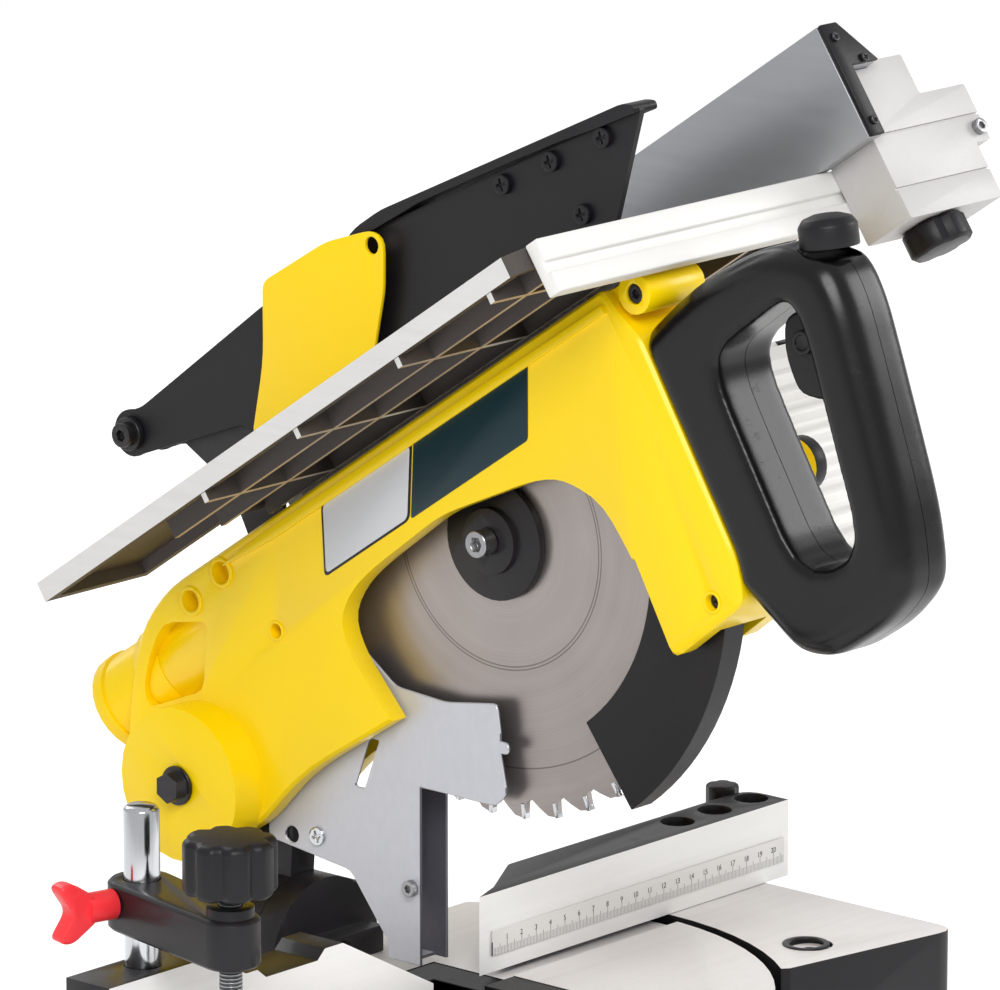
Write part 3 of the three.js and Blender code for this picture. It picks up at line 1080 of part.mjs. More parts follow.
function pulleySolid(radius) {
  const lip = PULLEY_WIDTH / 8;
  const right = PULLEY_LEFT + PULLEY_WIDTH;
  return join(rodX(radius, PULLEY_LEFT, right),
      rodX(radius + BELT_THICKNESS, PULLEY_LEFT, PULLEY_LEFT + lip),
    rodX(radius + BELT_THICKNESS, right - lip, right));
}

function ring(outerRadius, innerRadius, left, right, y = 0, z = 0) {
  return cut(rodX(outerRadius, left, right, y, z),
      rodX(innerRadius, left - CUT_OVERRUN, right + CUT_OVERRUN, y, z));
}

function driveBelt() {
  const arborSide = BLADE_PULLEY_RADIUS + SEAT_GAP;
  const motorSide = MOTOR_PULLEY_RADIUS + SEAT_GAP;
  const right = PULLEY_LEFT + PULLEY_WIDTH;
  const band = prismX(wrapOutline(arborSide + BELT_THICKNESS, motorSide + BELT_THICKNESS),
    PULLEY_LEFT + BELT_MARGIN, right - BELT_MARGIN, 0, GUARD_CURVE);
  return cut(band, prismX(wrapOutline(arborSide, motorSide), PULLEY_LEFT - CUT_OVERRUN, right + CUT_OVERRUN,
    0, GUARD_CURVE));
}

function motorHousing() {
  const shape = new THREE.Shape();
  const corners = MOTOR_FINS * 4;
  for (let corner = 0; corner < corners; corner++) {
    const angle = (2 * Math.PI * (corner + 0.5)) / corners;
    const reach = corner % 4 < 2 ? MOTOR_RADIUS : MOTOR_RADIUS - MOTOR_FIN_DEPTH;
    const point = [reach * Math.cos(angle), reach * Math.sin(angle)];
    if (corner === 0) shape.moveTo(...point);
    else shape.lineTo(...point);
  }
  shape.closePath();
  const body = prismX(shape, MOTOR_LEFT, MOTOR_LEFT + MOTOR_LENGTH);
  const bore = rodX(MOTOR_RADIUS - MOTOR_FIN_DEPTH - MOTOR_WALL / 2, MOTOR_LEFT + MOTOR_WALL,
    MOTOR_LEFT + 2 * MOTOR_LENGTH);
  const shaftHole = rodX(MOTOR_SHAFT_RADIUS + TURN_GAP, 0, MOTOR_LENGTH);
  const piece = cut(body, bore, shaftHole);
  piece.translate(0, MOTOR_BACK, MOTOR_RISE);
  return piece;
}

function motorCap() {
  const cap = turned(scaled(motorCapShares, MOTOR_RADIUS, MOTOR_CAP_LENGTH), CAP_SIDES);
  cap.rotateY(Math.PI / 2);
  cap.translate(MOTOR_LEFT + MOTOR_LENGTH + SEAT_GAP, MOTOR_BACK, MOTOR_RISE);
  return cap;
}

function rotor() {
  const motorEnd = MOTOR_LEFT + MOTOR_LENGTH;
  const shaft = rodX(MOTOR_SHAFT_RADIUS, PULLEY_LEFT - RUN_GAP, motorEnd + MOTOR_CAP_LENGTH * 0.7,
    MOTOR_BACK, MOTOR_RISE);
  const core = rodX(ROTOR_RADIUS, MOTOR_LEFT + 3 * MOTOR_WALL, motorEnd - 2 * MOTOR_WALL, MOTOR_BACK,
      MOTOR_RISE);
  return join(shaft, core, motorFan());
}

function motorFan() {
  const left = MOTOR_LEFT + MOTOR_LENGTH + MOTOR_CAP_LENGTH * 0.15;
  const right = left + MOTOR_CAP_LENGTH * 0.45;
  const hub = rodX(MOTOR_SHAFT_RADIUS * 2, left, right, 0, 0, SMALL_ROUND);
  const blades = Array.from({ length: FAN_BLADES }, (_, index) => {
    const blade = box(left, right, -FAN_BLADE_THICKNESS / 2, FAN_BLADE_THICKNESS / 2, 0,
        MOTOR_RADIUS * 0.74);
    blade.rotateX((2 * Math.PI * index) / FAN_BLADES);
    return blade;
  });
  const fan = join(hub, ...blades);
  fan.translate(0, MOTOR_BACK, MOTOR_RISE);
  return fan;
}

function capacitor() {
  const reach = MOTOR_RADIUS + CAPACITOR_RADIUS + SEAT_GAP;
  const angle = radians(CAPACITOR_ANGLE);
  const left = MOTOR_LEFT + MOTOR_LENGTH * 0.53;
  return rodX(CAPACITOR_RADIUS, left, left + CAPACITOR_LENGTH, MOTOR_BACK + reach * Math.cos(angle),
    MOTOR_RISE + reach * Math.sin(angle));
}

// Blade group on the arbor
function sawBlade() {
  const shape = new THREE.Shape();
  const pitch = (2 * Math.PI) / BLADE_TEETH;
  for (let tooth = 0; tooth < BLADE_TEETH; tooth++) {
    toothShares.forEach(([depthShare, pitchShare], corner) => {
      const angle = (tooth + pitchShare) * pitch;
      const reach = BLADE_RADIUS - TOOTH_DEPTH * depthShare;
      const point = [reach * Math.cos(angle), reach * Math.sin(angle)];
      if (tooth === 0 && corner === 0) shape.moveTo(...point);
      else shape.lineTo(...point);
    });
  }
  shape.closePath();
  const body = prismX(shape, -BLADE_THICKNESS / 2, BLADE_THICKNESS / 2);
  return cut(body, rodX(ARBOR_RADIUS + SEAT_GAP, -BLADE_THICKNESS, BLADE_THICKNESS));
}

function outerFlange() {
  const disc = rodX(FLANGE_RADIUS, -FLANGE_START - FLANGE_THICKNESS, -FLANGE_START, 0, 0, FLANGE_SIDES);
  const hub = rodX(FLANGE_RADIUS * 0.55, -FLANGE_START - FLANGE_THICKNESS * 1.9,
      -FLANGE_START - JOIN_OVERLAP);
  return cut(join(disc, hub), rodX(ARBOR_RADIUS * 0.45 + SEAT_GAP, -5 * FLANGE_THICKNESS, 0, 0, 0,
      SMALL_ROUND));
}

function innerFlange() {
  return ring(FLANGE_RADIUS, ARBOR_RADIUS + SEAT_GAP, FLANGE_START,
    GUARD_HALF_WIDTH - GUARD_WALL - TURN_GAP);
}

function arborShaft() {
  const shaft = rodX(ARBOR_RADIUS, -BLADE_THICKNESS / 2, PULLEY_LEFT + PULLEY_WIDTH + RUN_GAP);
  return join(shaft, pulleySolid(BLADE_PULLEY_RADIUS));
}

function arborScrew() {
  const headRight = -FLANGE_START - FLANGE_THICKNESS * 1.9 - SEAT_GAP;
  const headLeft = headRight - ARBOR_SCREW_LENGTH;
  const head = rodX(ARBOR_RADIUS * 0.68, headLeft, headRight, 0, 0, POST_SIDES);
  const stem = rodX(ARBOR_RADIUS * 0.45, headRight - JOIN_OVERLAP, -BLADE_THICKNESS / 2 - SEAT_GAP, 0, 0,
      SMALL_ROUND);
  const socket = rodX(ARBOR_RADIUS * 0.38, headLeft - ARBOR_SCREW_LENGTH / 2,
      headRight - ARBOR_SCREW_LENGTH / 2,
    0, 0, 6);
  return cut(join(head, stem), socket);
}

function arborBearing() {
  return ring(BEARING_RADIUS, ARBOR_RADIUS + SEAT_GAP, CASTING_RIGHT - BEARING_WIDTH, CASTING_RIGHT);
}

// Lower guard: two side plates and a rim on a hub ring
function lowerGuard() {
  const band = (inner, left, right) =>
    prismX(sector(inner, GUARD_RADIUS, GUARD_START_ANGLE, GUARD_END_ANGLE), left, right, 0, GUARD_CURVE);
  const hubOuter = GUARD_HUB_RADIUS + GUARD_HUB_RIM;
  const leftWall = band(GUARD_INNER_RADIUS, -GUARD_HALF_WIDTH, -GUARD_HALF_WIDTH + GUARD_WALL);
  const rightWall = band(hubOuter - JOIN_OVERLAP, GUARD_HALF_WIDTH - GUARD_WALL, GUARD_HALF_WIDTH);
  const rim = band(GUARD_RADIUS - GUARD_RIM, -GUARD_HALF_WIDTH, GUARD_HALF_WIDTH);
  const hub = ring(hubOuter, GUARD_HUB_RADIUS, GUARD_HALF_WIDTH - GUARD_WALL, GUARD_HALF_WIDTH);
  return join(leftWall, rim, rightWall, hub);
}

function motorPulley() {
  const bore = rodX(MOTOR_SHAFT_RADIUS + SEAT_GAP, 0, 2 * COVER_RIGHT);
  const wheel = cut(pulleySolid(MOTOR_PULLEY_RADIUS), bore);
  wheel.translate(0, MOTOR_BACK, MOTOR_RISE);
  return wheel;
}

// Handle in two halves around a finger opening, with a trigger and a lock-off button

function handleBody() {
  const wide = 2 * HANDLE_LEFT;
  const solid = prismX(headOutline(handleShares), -HANDLE_LEFT, HANDLE_RIGHT, HANDLE_EDGE, CORNER_CURVE);
  const opening = prismX(headOutline(openingShares), -wide, wide, 0, CORNER_CURVE);
  const castingFront = prismX(headOutline(castingOutlineShares), -wide, wide, 0, CORNER_CURVE);
  castingFront.translate(0, -SEAT_GAP, 0);
  const triggerHalf = TRIGGER_WIDTH / 2 + TURN_GAP;
  const triggerWay = prismX(headOutline(triggerWayShares), HANDLE_SPLIT - triggerHalf,
      HANDLE_SPLIT + triggerHalf);
  const buttonWay = buttonFrame(
    rodZ(LOCK_BUTTON_RADIUS + TURN_GAP, -LOCK_BUTTON_HEIGHT * 1.4, 2 * LOCK_BUTTON_HEIGHT));
  return cut(solid, opening, castingFront, triggerWay, buttonWay);
}

function buttonFrame(geometry) {
  const [backShare, riseShare] = buttonPlaceShares;
  geometry.rotateX(radians(BUTTON_LEAN));
  geometry.translate(HANDLE_SPLIT, backShare * ARBOR_REACH, riseShare * CASTING_TOP);
  return geometry;
}

function handleHalf(side) {
  const reach = 3 * ARBOR_REACH;
  const edge = HANDLE_SPLIT + side * SEAT_GAP / 2;
  const [left, right] = side < 0 ? [-reach, edge] : [edge, reach];
  return common(handleBody(), box(left, right, -reach, reach, -reach, reach));
}

function trigger() {
  return prismX(headOutline(triggerShares), HANDLE_SPLIT - TRIGGER_WIDTH / 2,
      HANDLE_SPLIT + TRIGGER_WIDTH / 2,
    FINE_EDGE, CORNER_CURVE);
}

function lockOffButton() {
  return buttonFrame(turned(scaled(buttonShares, LOCK_BUTTON_RADIUS, LOCK_BUTTON_HEIGHT), POST_SIDES));
}

// Upper saw table with ribs, slots and a front apron

function tablePlan(inset) {
  const chamfer = UPPER_TABLE_WALL * 1.6;
  const left = -UPPER_TABLE_LEFT + inset;
  const front = -UPPER_TABLE_FRONT + inset;
  const notchX = -UPPER_TABLE_LEFT + UPPER_TABLE_NOTCH - inset;
  const notchY = UPPER_TABLE_REAR - UPPER_TABLE_NOTCH - inset;
  return polygon([
    [left, UPPER_TABLE_REAR - inset], [left, -UPPER_TABLE_FRONT + chamfer],
    [-UPPER_TABLE_LEFT + 1.5 * chamfer, front], [UPPER_TABLE_RIGHT - inset, front],
    [UPPER_TABLE_RIGHT - inset, notchY], [notchX, notchY], [notchX, UPPER_TABLE_REAR - inset],
  ]);
}

function upperTable() {
  const skirtBottom = UPPER_TABLE_HEIGHT - UPPER_TABLE_SKIRT;
  const slab = prismZ(tablePlan(0), skirtBottom, UPPER_TABLE_HEIGHT);
  const hollow = prismZ(tablePlan(UPPER_TABLE_WALL), skirtBottom - CUT_OVERRUN, UPPER_PLATE_BOTTOM);
  const slot = box(-UPPER_SLOT_HALF_WIDTH, UPPER_SLOT_HALF_WIDTH, -UPPER_SLOT_FRONT, UPPER_SLOT_REAR,
    0, 2 * UPPER_TABLE_HEIGHT);
  return cut(join(cut(slab, hollow), ...tableRibs()), slot);
}

function tableRibs() {
  const bottom = UPPER_TABLE_HEIGHT - UPPER_TABLE_RIB_DEPTH;
  const top = UPPER_PLATE_BOTTOM + JOIN_OVERLAP;
  const half = UPPER_TABLE_RIB / 2;
  const left = -UPPER_TABLE_LEFT + JOIN_OVERLAP;
  const right = UPPER_TABLE_RIGHT - JOIN_OVERLAP;
  const front = -UPPER_TABLE_FRONT + JOIN_OVERLAP;
  const rearEdge = UPPER_TABLE_REAR - UPPER_TABLE_NOTCH - UPPER_TABLE_WALL;
  const rear = rearEdge + JOIN_OVERLAP;
  const longRibs = longRibShares.map((share) => {
    const x = share * (UPPER_TABLE_LEFT + (share > 0 ? UPPER_TABLE_WALL * 6 : 0));
    return box(x - half, x + half, front, rear, bottom, top);
  });
  const crossRibs = crossRibShares.map((share) => {
    const y = share * UPPER_TABLE_FRONT;
    return box(left, right, y - half, y + half, bottom, top);
  });
  const slotEdge = UPPER_SLOT_HALF_WIDTH + UPPER_TABLE_RIB;
  const slotRib = box(-slotEdge, slotEdge, -UPPER_SLOT_FRONT - UPPER_TABLE_RIB, rear, bottom, top);
  const columnPads = COLUMN_PLACES.map((y) => rodZ(COLUMN_RADIUS * 1.6, bottom, top, COLUMN_X,
    Math.min(y, rearEdge - COLUMN_RADIUS), SMALL_ROUND));
  return [...longRibs, ...crossRibs, slotRib, ...columnPads];
}

function tableApron() {
  const back = -UPPER_TABLE_FRONT - SEAT_GAP;
  const front = back - APRON_DEPTH;
  const body = box(-UPPER_TABLE_LEFT * 0.92, UPPER_TABLE_RIGHT, front, back,
    UPPER_TABLE_HEIGHT - APRON_HEIGHT, UPPER_TABLE_HEIGHT);
  const groove = box(-UPPER_TABLE_LEFT, 2 * UPPER_TABLE_RIGHT, front - CUT_OVERRUN,
      front + APRON_DEPTH * 0.3,
    UPPER_TABLE_HEIGHT - APRON_HEIGHT * 0.62, UPPER_TABLE_HEIGHT - APRON_HEIGHT * 0.42);
  return cut(body, groove);
}

function tableColumn(y) {
  return rodZ(COLUMN_RADIUS, CASTING_TOP * 0.16, UPPER_TABLE_HEIGHT - UPPER_TABLE_RIB_DEPTH - SEAT_GAP,
    COLUMN_X, y, SMALL_ROUND);
}

function heightLockKnob() {
  const start = COLUMN_X + COLUMN_BOSS_RADIUS + SEAT_GAP;
  const knob = clampingKnob(start, COLUMN_X + COLUMN_RADIUS + TURN_GAP + SEAT_GAP);
  knob.translate(0, COLUMN_PLACES[1], CASTING_TOP * 0.6);
  return knob;
}

// A lobed knob along X from its left face, on a rod that starts further left
function clampingKnob(left, rodLeft) {
  const grip = fluted(CLAMP_KNOB_RADIUS, CLAMP_KNOB_RADIUS / 8, 6);
  return join(prismX(grip, left, left + CLAMP_KNOB_LENGTH, SOFT_EDGE),
    rodX(SMALL_ROD_RADIUS, rodLeft, left + JOIN_OVERLAP, 0, 0, SMALL_ROUND));
}

// Rip fence on the upper table with its carriage and clamp knob

function ripFenceProfile() {
  const headBottom = RIP_TOP - RIP_FENCE_HEAD_HEIGHT;
  return polygon([
    [RIP_FENCE_LEFT, RIP_BOTTOM], [RIP_FENCE_LEFT + RIP_FENCE_FOOT_WIDTH, RIP_BOTTOM],
    [RIP_FENCE_LEFT + RIP_FENCE_FOOT_WIDTH, headBottom],
    [RIP_FENCE_LEFT + RIP_FENCE_HEAD_WIDTH, headBottom],
    [RIP_FENCE_LEFT + RIP_FENCE_TOP_WIDTH, RIP_TOP], [RIP_FENCE_LEFT, RIP_TOP],
  ]);
}

function ripFence() {
  return prismY(ripFenceProfile(), -RIP_FENCE_FRONT, -RIP_FENCE_FRONT + RIP_FENCE_LENGTH);
}

function ripFenceCap() {
  return prismY(ripFenceProfile(), -RIP_FENCE_FRONT - SEAT_GAP - RIP_CAP_THICKNESS,
      -RIP_FENCE_FRONT - SEAT_GAP);
}

function fenceCarriage() {
  const top = RIP_TOP - RIP_FENCE_HEAD_HEIGHT - SEAT_GAP;
  const headRight = RIP_FENCE_LEFT + RIP_FENCE_HEAD_WIDTH + SEAT_GAP;
  const small = CARRIAGE_CORNER;
  const front = CARRIAGE_BACK - CARRIAGE_DEPTH;
  const body = prismY(rounded([
    [CARRIAGE_LEFT, top, 0], [headRight, top, 0], [headRight, top + CARRIAGE_STEP * 0.3, 0],
    [CARRIAGE_MIDDLE, top + CARRIAGE_STEP * 0.3, small], [CARRIAGE_MIDDLE, CARRIAGE_SHOULDER, small],
    [CARRIAGE_RIGHT, CARRIAGE_SHOULDER, small], [CARRIAGE_RIGHT, CARRIAGE_WAIST, small],
    [CARRIAGE_RIGHT - CARRIAGE_STEP, CARRIAGE_WAIST, 0],
    [CARRIAGE_RIGHT - CARRIAGE_STEP, CARRIAGE_BOTTOM, small],
    [CARRIAGE_LEFT, CARRIAGE_BOTTOM, small],
  ]), front, CARRIAGE_BACK);
  const grooves = carriageGrooveShares.map((share) => {
    const height = CARRIAGE_BOTTOM + share * (CARRIAGE_SHOULDER - CARRIAGE_BOTTOM);
    return box(CARRIAGE_LEFT - CUT_OVERRUN, CARRIAGE_RIGHT + CUT_OVERRUN, front - CUT_OVERRUN,
      front + CARRIAGE_GROOVE, height, height + CARRIAGE_GROOVE);
  });
  return cut(body, ...grooves, rodZ(SMALL_ROD_RADIUS + TURN_GAP, CARRIAGE_BOTTOM - CUT_OVERRUN,
    CARRIAGE_BOTTOM + CARRIAGE_KNOB_ROD + TURN_GAP, CARRIAGE_KNOB_X, CARRIAGE_KNOB_Y, SMALL_ROUND));
}

function carriageKnob() {
  const grip = fluted(CLAMP_KNOB_RADIUS, CLAMP_KNOB_RADIUS / 8, 6);
  const knob = prismZ(grip, CARRIAGE_KNOB_TOP - CARRIAGE_KNOB_LENGTH, CARRIAGE_KNOB_TOP, SOFT_EDGE);
  const rod = rodZ(SMALL_ROD_RADIUS, CARRIAGE_KNOB_TOP - JOIN_OVERLAP, CARRIAGE_BOTTOM + CARRIAGE_KNOB_ROD,
    0, 0, SMALL_ROUND);
  const whole = join(knob, rod);
  whole.translate(CARRIAGE_KNOB_X, CARRIAGE_KNOB_Y, 0);
  return whole;
}

// Riving knife behind the blade, and the hood hinged on it
function rivingKnife() {
  const inner = BLADE_RADIUS + KNIFE_CLEARANCE;
  const half = KNIFE_THICKNESS / 2;
  const points = [
    [Math.sqrt(inner ** 2 - KNIFE_FOOT_BOTTOM ** 2), KNIFE_FOOT_BOTTOM],
    [HOOD_PIVOT_BACK * 0.84, KNIFE_FOOT_BOTTOM],
    ...scaled(knifeShares, HOOD_PIVOT_BACK, HOOD_PIVOT_RISE),
  ];
  for (let step = 0; step <= KNIFE_ARC_STEPS; step++) {
    const angle = radians(KNIFE_ARC_START - step * KNIFE_ARC_STEP_ANGLE);
    points.push([inner * Math.cos(angle), inner * Math.sin(angle)]);
  }
  const body = join(prismX(polygon(points), -half, half),
    rodX(HOOD_PIVOT_RADIUS * 0.8, -half, half, HOOD_PIVOT_BACK, HOOD_PIVOT_RISE));
  return cut(body, rodX(HOOD_SCREW_RADIUS + TURN_GAP, -HOOD_HALF_WIDTH, HOOD_HALF_WIDTH,
    HOOD_PIVOT_BACK, HOOD_PIVOT_RISE, SMALL_ROUND));
}

function bladeHood() {
  const half = HOOD_HALF_WIDTH;
  const room = half - HOOD_WALL;
  const spacers = hoodSpacerShares.map(([y, z]) => rodX(HOOD_SCREW_RADIUS, -HOOD_PLATE_RIGHT + SEAT_GAP,
    -half + HOOD_WALL / 2, y * HOOD_PIVOT_BACK, z * HOOD_PIVOT_RISE, SMALL_ROUND));
  const rim = box(-HOOD_RIM_HALF_WIDTH, HOOD_RIM_HALF_WIDTH, -HOOD_PIVOT_BACK * 0.8, HOOD_PIVOT_BACK * 0.56,
    HOOD_BOTTOM, HOOD_BOTTOM + HOOD_RIM);
  const outside = join(prismX(hoodOutline(hoodOutlineShares), -half, half, 0, CORNER_CURVE), rim,
    rodX(HOOD_PIVOT_RADIUS, -half, half, HOOD_PIVOT_BACK, HOOD_PIVOT_RISE));
  const nose = prismX(hoodOutline(hoodNoseShares), HOOD_NOSE_WALL - half, 2 * HOOD_RIM_HALF_WIDTH);
  const body = join(cut(outside, nose), ...hoodLips(), ...spacers);
  return cut(body, prismX(hoodOutline(hoodInsideShares), -room, room),
    rodX(HOOD_SCREW_RADIUS + TURN_GAP, -2 * half, 2 * half, HOOD_PIVOT_BACK, HOOD_PIVOT_RISE, SMALL_ROUND));
}

// A lip runs along the top; on the right it ends sooner, with the slanted nose
function hoodLips() {
  const wide = HOOD_RIM_HALF_WIDTH;
  const back = -HOOD_PIVOT_BACK * 0.97;
  return [
    prismX(hoodOutline(hoodLipShares), -wide, HOOD_LIP_RIGHT, 0, COARSE_CURVE),
    common(prismX(hoodOutline(hoodLipShares), HOOD_LIP_RIGHT - JOIN_OVERLAP, wide, 0, COARSE_CURVE),
      box(-wide, 2 * wide, back, HOOD_PIVOT_BACK, 0, 2 * HOOD_PIVOT_RISE)),
  ];
}

function hoodScrew() {
  const length = HOOD_HALF_WIDTH + SEAT_GAP + HOOD_WALL * 1.5;
  const seat = HOOD_HALF_WIDTH + SEAT_GAP;
  const rod = (radius, left, right) =>
    rodX(radius, left, right, HOOD_PIVOT_BACK, HOOD_PIVOT_RISE, SMALL_ROUND);
  return join(rod(HOOD_SCREW_RADIUS, -length, length), rod(HOOD_SCREW_RADIUS * 2, -length, -seat),
    rod(HOOD_SCREW_RADIUS * 1.6, seat, length));
}

function hoodPlate() {
  const plate = prismX(hoodOutline(hoodPlateShares), -HOOD_PLATE_RIGHT - HOOD_PLATE_THICKNESS,
      -HOOD_PLATE_RIGHT,
    0, CORNER_CURVE);
  const hole = rodX(HOOD_SCREW_RADIUS, -2 * HOOD_PLATE_RIGHT, 0, -0.119 * HOOD_PIVOT_BACK,
    1.03 * HOOD_PIVOT_RISE,
    SMALL_ROUND);
  return cut(plate, hole);
}

// Hold-down clamp, placed about its post
function clampPost() {
  const bottom = FENCE_TALL - POST_SINK;
  const chamfer = POST_RADIUS * 0.2;
  return turned([
    [0, bottom], [POST_RADIUS * 0.85, bottom], [POST_RADIUS, bottom + chamfer],
    [POST_RADIUS, POST_TOP - chamfer],
    [POST_RADIUS * 0.8, POST_TOP], [0, POST_TOP],
  ], POST_SIDES);
}

function clampArm() {
  const top = CLAMP_ARM_BOTTOM + CLAMP_ARM_HEIGHT;
  const body = prismZ(wrapOutline(CLAMP_ARM_RADIUS, CLAMP_NOSE_RADIUS, 0, -CLAMP_REACH), CLAMP_ARM_BOTTOM,
      top,
    SOFT_EDGE, GUARD_CURVE);
  const nose = rodZ(CLAMP_NOSE_RADIUS * 0.8, CLAMP_ARM_BOTTOM, top + CLAMP_ARM_HEIGHT * 0.2, 0,
      -CLAMP_REACH);
  return cut(join(body, nose), rodZ(POST_RADIUS + TURN_GAP, 0, 2 * POST_TOP, 0, 0, POST_SIDES),
    rodZ(SPINDLE_RADIUS + TURN_GAP, 0, 2 * POST_TOP, 0, -CLAMP_REACH, SMALL_ROUND),
    rodX(SMALL_ROD_RADIUS + TURN_GAP, -2 * CLAMP_ARM_RADIUS, 0, 0, CLAMP_SCREW_HEIGHT, SMALL_ROUND));
}

function clampWingScrew() {
  const hubRight = -CLAMP_ARM_RADIUS - SEAT_GAP;
  const hubLeft = hubRight - WING_STEM;
  const root = hubLeft + WING_THICKNESS * 0.6;
  const tip = hubLeft - WING_THICKNESS;
  const far = hubLeft - WING_THICKNESS * 1.8;
  const wings = prismY(rounded([
    [root, -WING_THICKNESS / 2], [tip, -WING_SPAN / 2], [far, -WING_SPAN * 0.43],
    [hubLeft - WING_THICKNESS * 0.9, 0], [far, WING_SPAN * 0.43], [tip, WING_SPAN / 2],
    [root, WING_THICKNESS / 2],
  ], WING_THICKNESS * 0.45), -WING_THICKNESS / 2, WING_THICKNESS / 2, FINE_EDGE);
  const hub = rodX(WING_THICKNESS * 0.75, hubLeft, hubRight, 0, 0, POST_SIDES);
  const rod = rodX(SMALL_ROD_RADIUS, hubRight - JOIN_OVERLAP, -POST_RADIUS - TURN_GAP - SEAT_GAP, 0, 0,
      SMALL_ROUND);
  const piece = join(wings, hub, rod);
  piece.translate(0, 0, CLAMP_SCREW_HEIGHT);
  return piece;
}

function clampSpindle() {
  return rodZ(SPINDLE_RADIUS, SPINDLE_BOTTOM + PAD_HEIGHT * 0.4,
      SPINDLE_KNOB_BOTTOM + FLUTED_KNOB_HEIGHT / 2,
    0, -CLAMP_REACH, SMALL_ROUND);
}

function clampKnob() {
  const grip = fluted(FLUTED_KNOB_RADIUS, FLUTED_KNOB_RADIUS / 7, 8);
  const knob = prismZ(grip, SPINDLE_KNOB_BOTTOM, SPINDLE_KNOB_BOTTOM + FLUTED_KNOB_HEIGHT, BROAD_EDGE);
  knob.translate(0, -CLAMP_REACH, 0);
  const boreTop = SPINDLE_KNOB_BOTTOM + FLUTED_KNOB_HEIGHT / 2 + SEAT_GAP;
  return cut(knob, rodZ(SPINDLE_RADIUS + SEAT_GAP, 0, boreTop, 0, -CLAMP_REACH, SMALL_ROUND));
}

function clampPad() {
  const bore = SPINDLE_RADIUS + SEAT_GAP;
  const seat = PAD_HEIGHT * 0.4 - SEAT_GAP;
  const pad = turned([
    [0, 0], [PAD_RADIUS * 0.9, 0], [PAD_RADIUS, PAD_HEIGHT * 0.3], [PAD_RADIUS, PAD_HEIGHT * 0.6],
    [bore * 1.5, PAD_HEIGHT], [bore, PAD_HEIGHT], [bore, seat], [0, seat],
  ], POST_SIDES);
  pad.translate(0, -CLAMP_REACH, SPINDLE_BOTTOM);
  return pad;
}

// Groups: the base, the turntable, the tilting bevel arm, the chopping head and the clamp
const saw = new THREE.Group();
saw.name = 'mitre_saw';
const placed = new THREE.Group();
placed.name = 'base_group';
saw.add(placed);

placed.add(
  named('base_casting', baseCasting(), ALUMINIUM),
  ...footMeshes(),
  named('fence_right', fenceRight(), BLACK_PAINT),
  named('fence_left', fenceLeft(), BLACK_PAINT),
  named('ruler_right', ruler(), WHITE_METAL),
  named('fence_lock_knob', fenceKnob(), BLACK_PLASTIC),
);

const clampGroup = new THREE.Group();
clampGroup.name = 'clamp_group';
clampGroup.position.set(POST_X, FENCE_HOLE_BACK, 0);
clampGroup.rotation.z = radians(CLAMP_TURN);
clampGroup.add(
  named('clamp_post', clampPost(), STEEL),
  named('clamp_arm', clampArm(), BLACK_PAINT),
  named('clamp_wing_screw', clampWingScrew(), RED),
  named('clamp_spindle', clampSpindle(), STEEL),
  named('clamp_knob', clampKnob(), BLACK_PLASTIC),
  named('clamp_pad', clampPad(), STEEL),
);
placed.add(clampGroup);

const turntableGroup = new THREE.Group();
turntableGroup.name = 'turntable_group';
turntableGroup.add(
  named('turntable', turntable(), ALUMINIUM),
  named('kerf_insert', kerfInsert(), BLACK_PLASTIC),
  named('mitre_lock_knob', mitreLockKnob(), BLACK_PLASTIC),
  named('mitre_detent_lever', detentLever(), BLACK_PLASTIC),
  named('bevel_support', bevelSupport(), BLACK_PAINT),
);
placed.add(turntableGroup);

const bevelGroup = new THREE.Group();
bevelGroup.name = 'bevel_group';
bevelGroup.add(
  named('bevel_bracket', bevelBracket(), BLACK_PAINT),
  named('bevel_pivot_bolt', bevelBolt(), STEEL),
  named('bevel_lock_lever', bevelLever(), BLACK_PLASTIC),
  named('guard_bracket', guardBracket(), GREY_SHEET),
  named('return_spring', returnSpring(), STEEL),
  named('pivot_shaft', pivotShaft(), STEEL),
);
turntableGroup.add(bevelGroup);

const headGroup = new THREE.Group();
headGroup.name = 'head_group';
headGroup.position.set(0, PIVOT_BACK, PIVOT_HEIGHT);
headGroup.rotation.x = -radians(HEAD_LIFT_ANGLE);
const arborFrame = new THREE.Group();
arborFrame.name = 'arbor_group';
arborFrame.position.set(0, -ARBOR_REACH, ARBOR_RISE);
headGroup.add(arborFrame);
bevelGroup.add(headGroup);

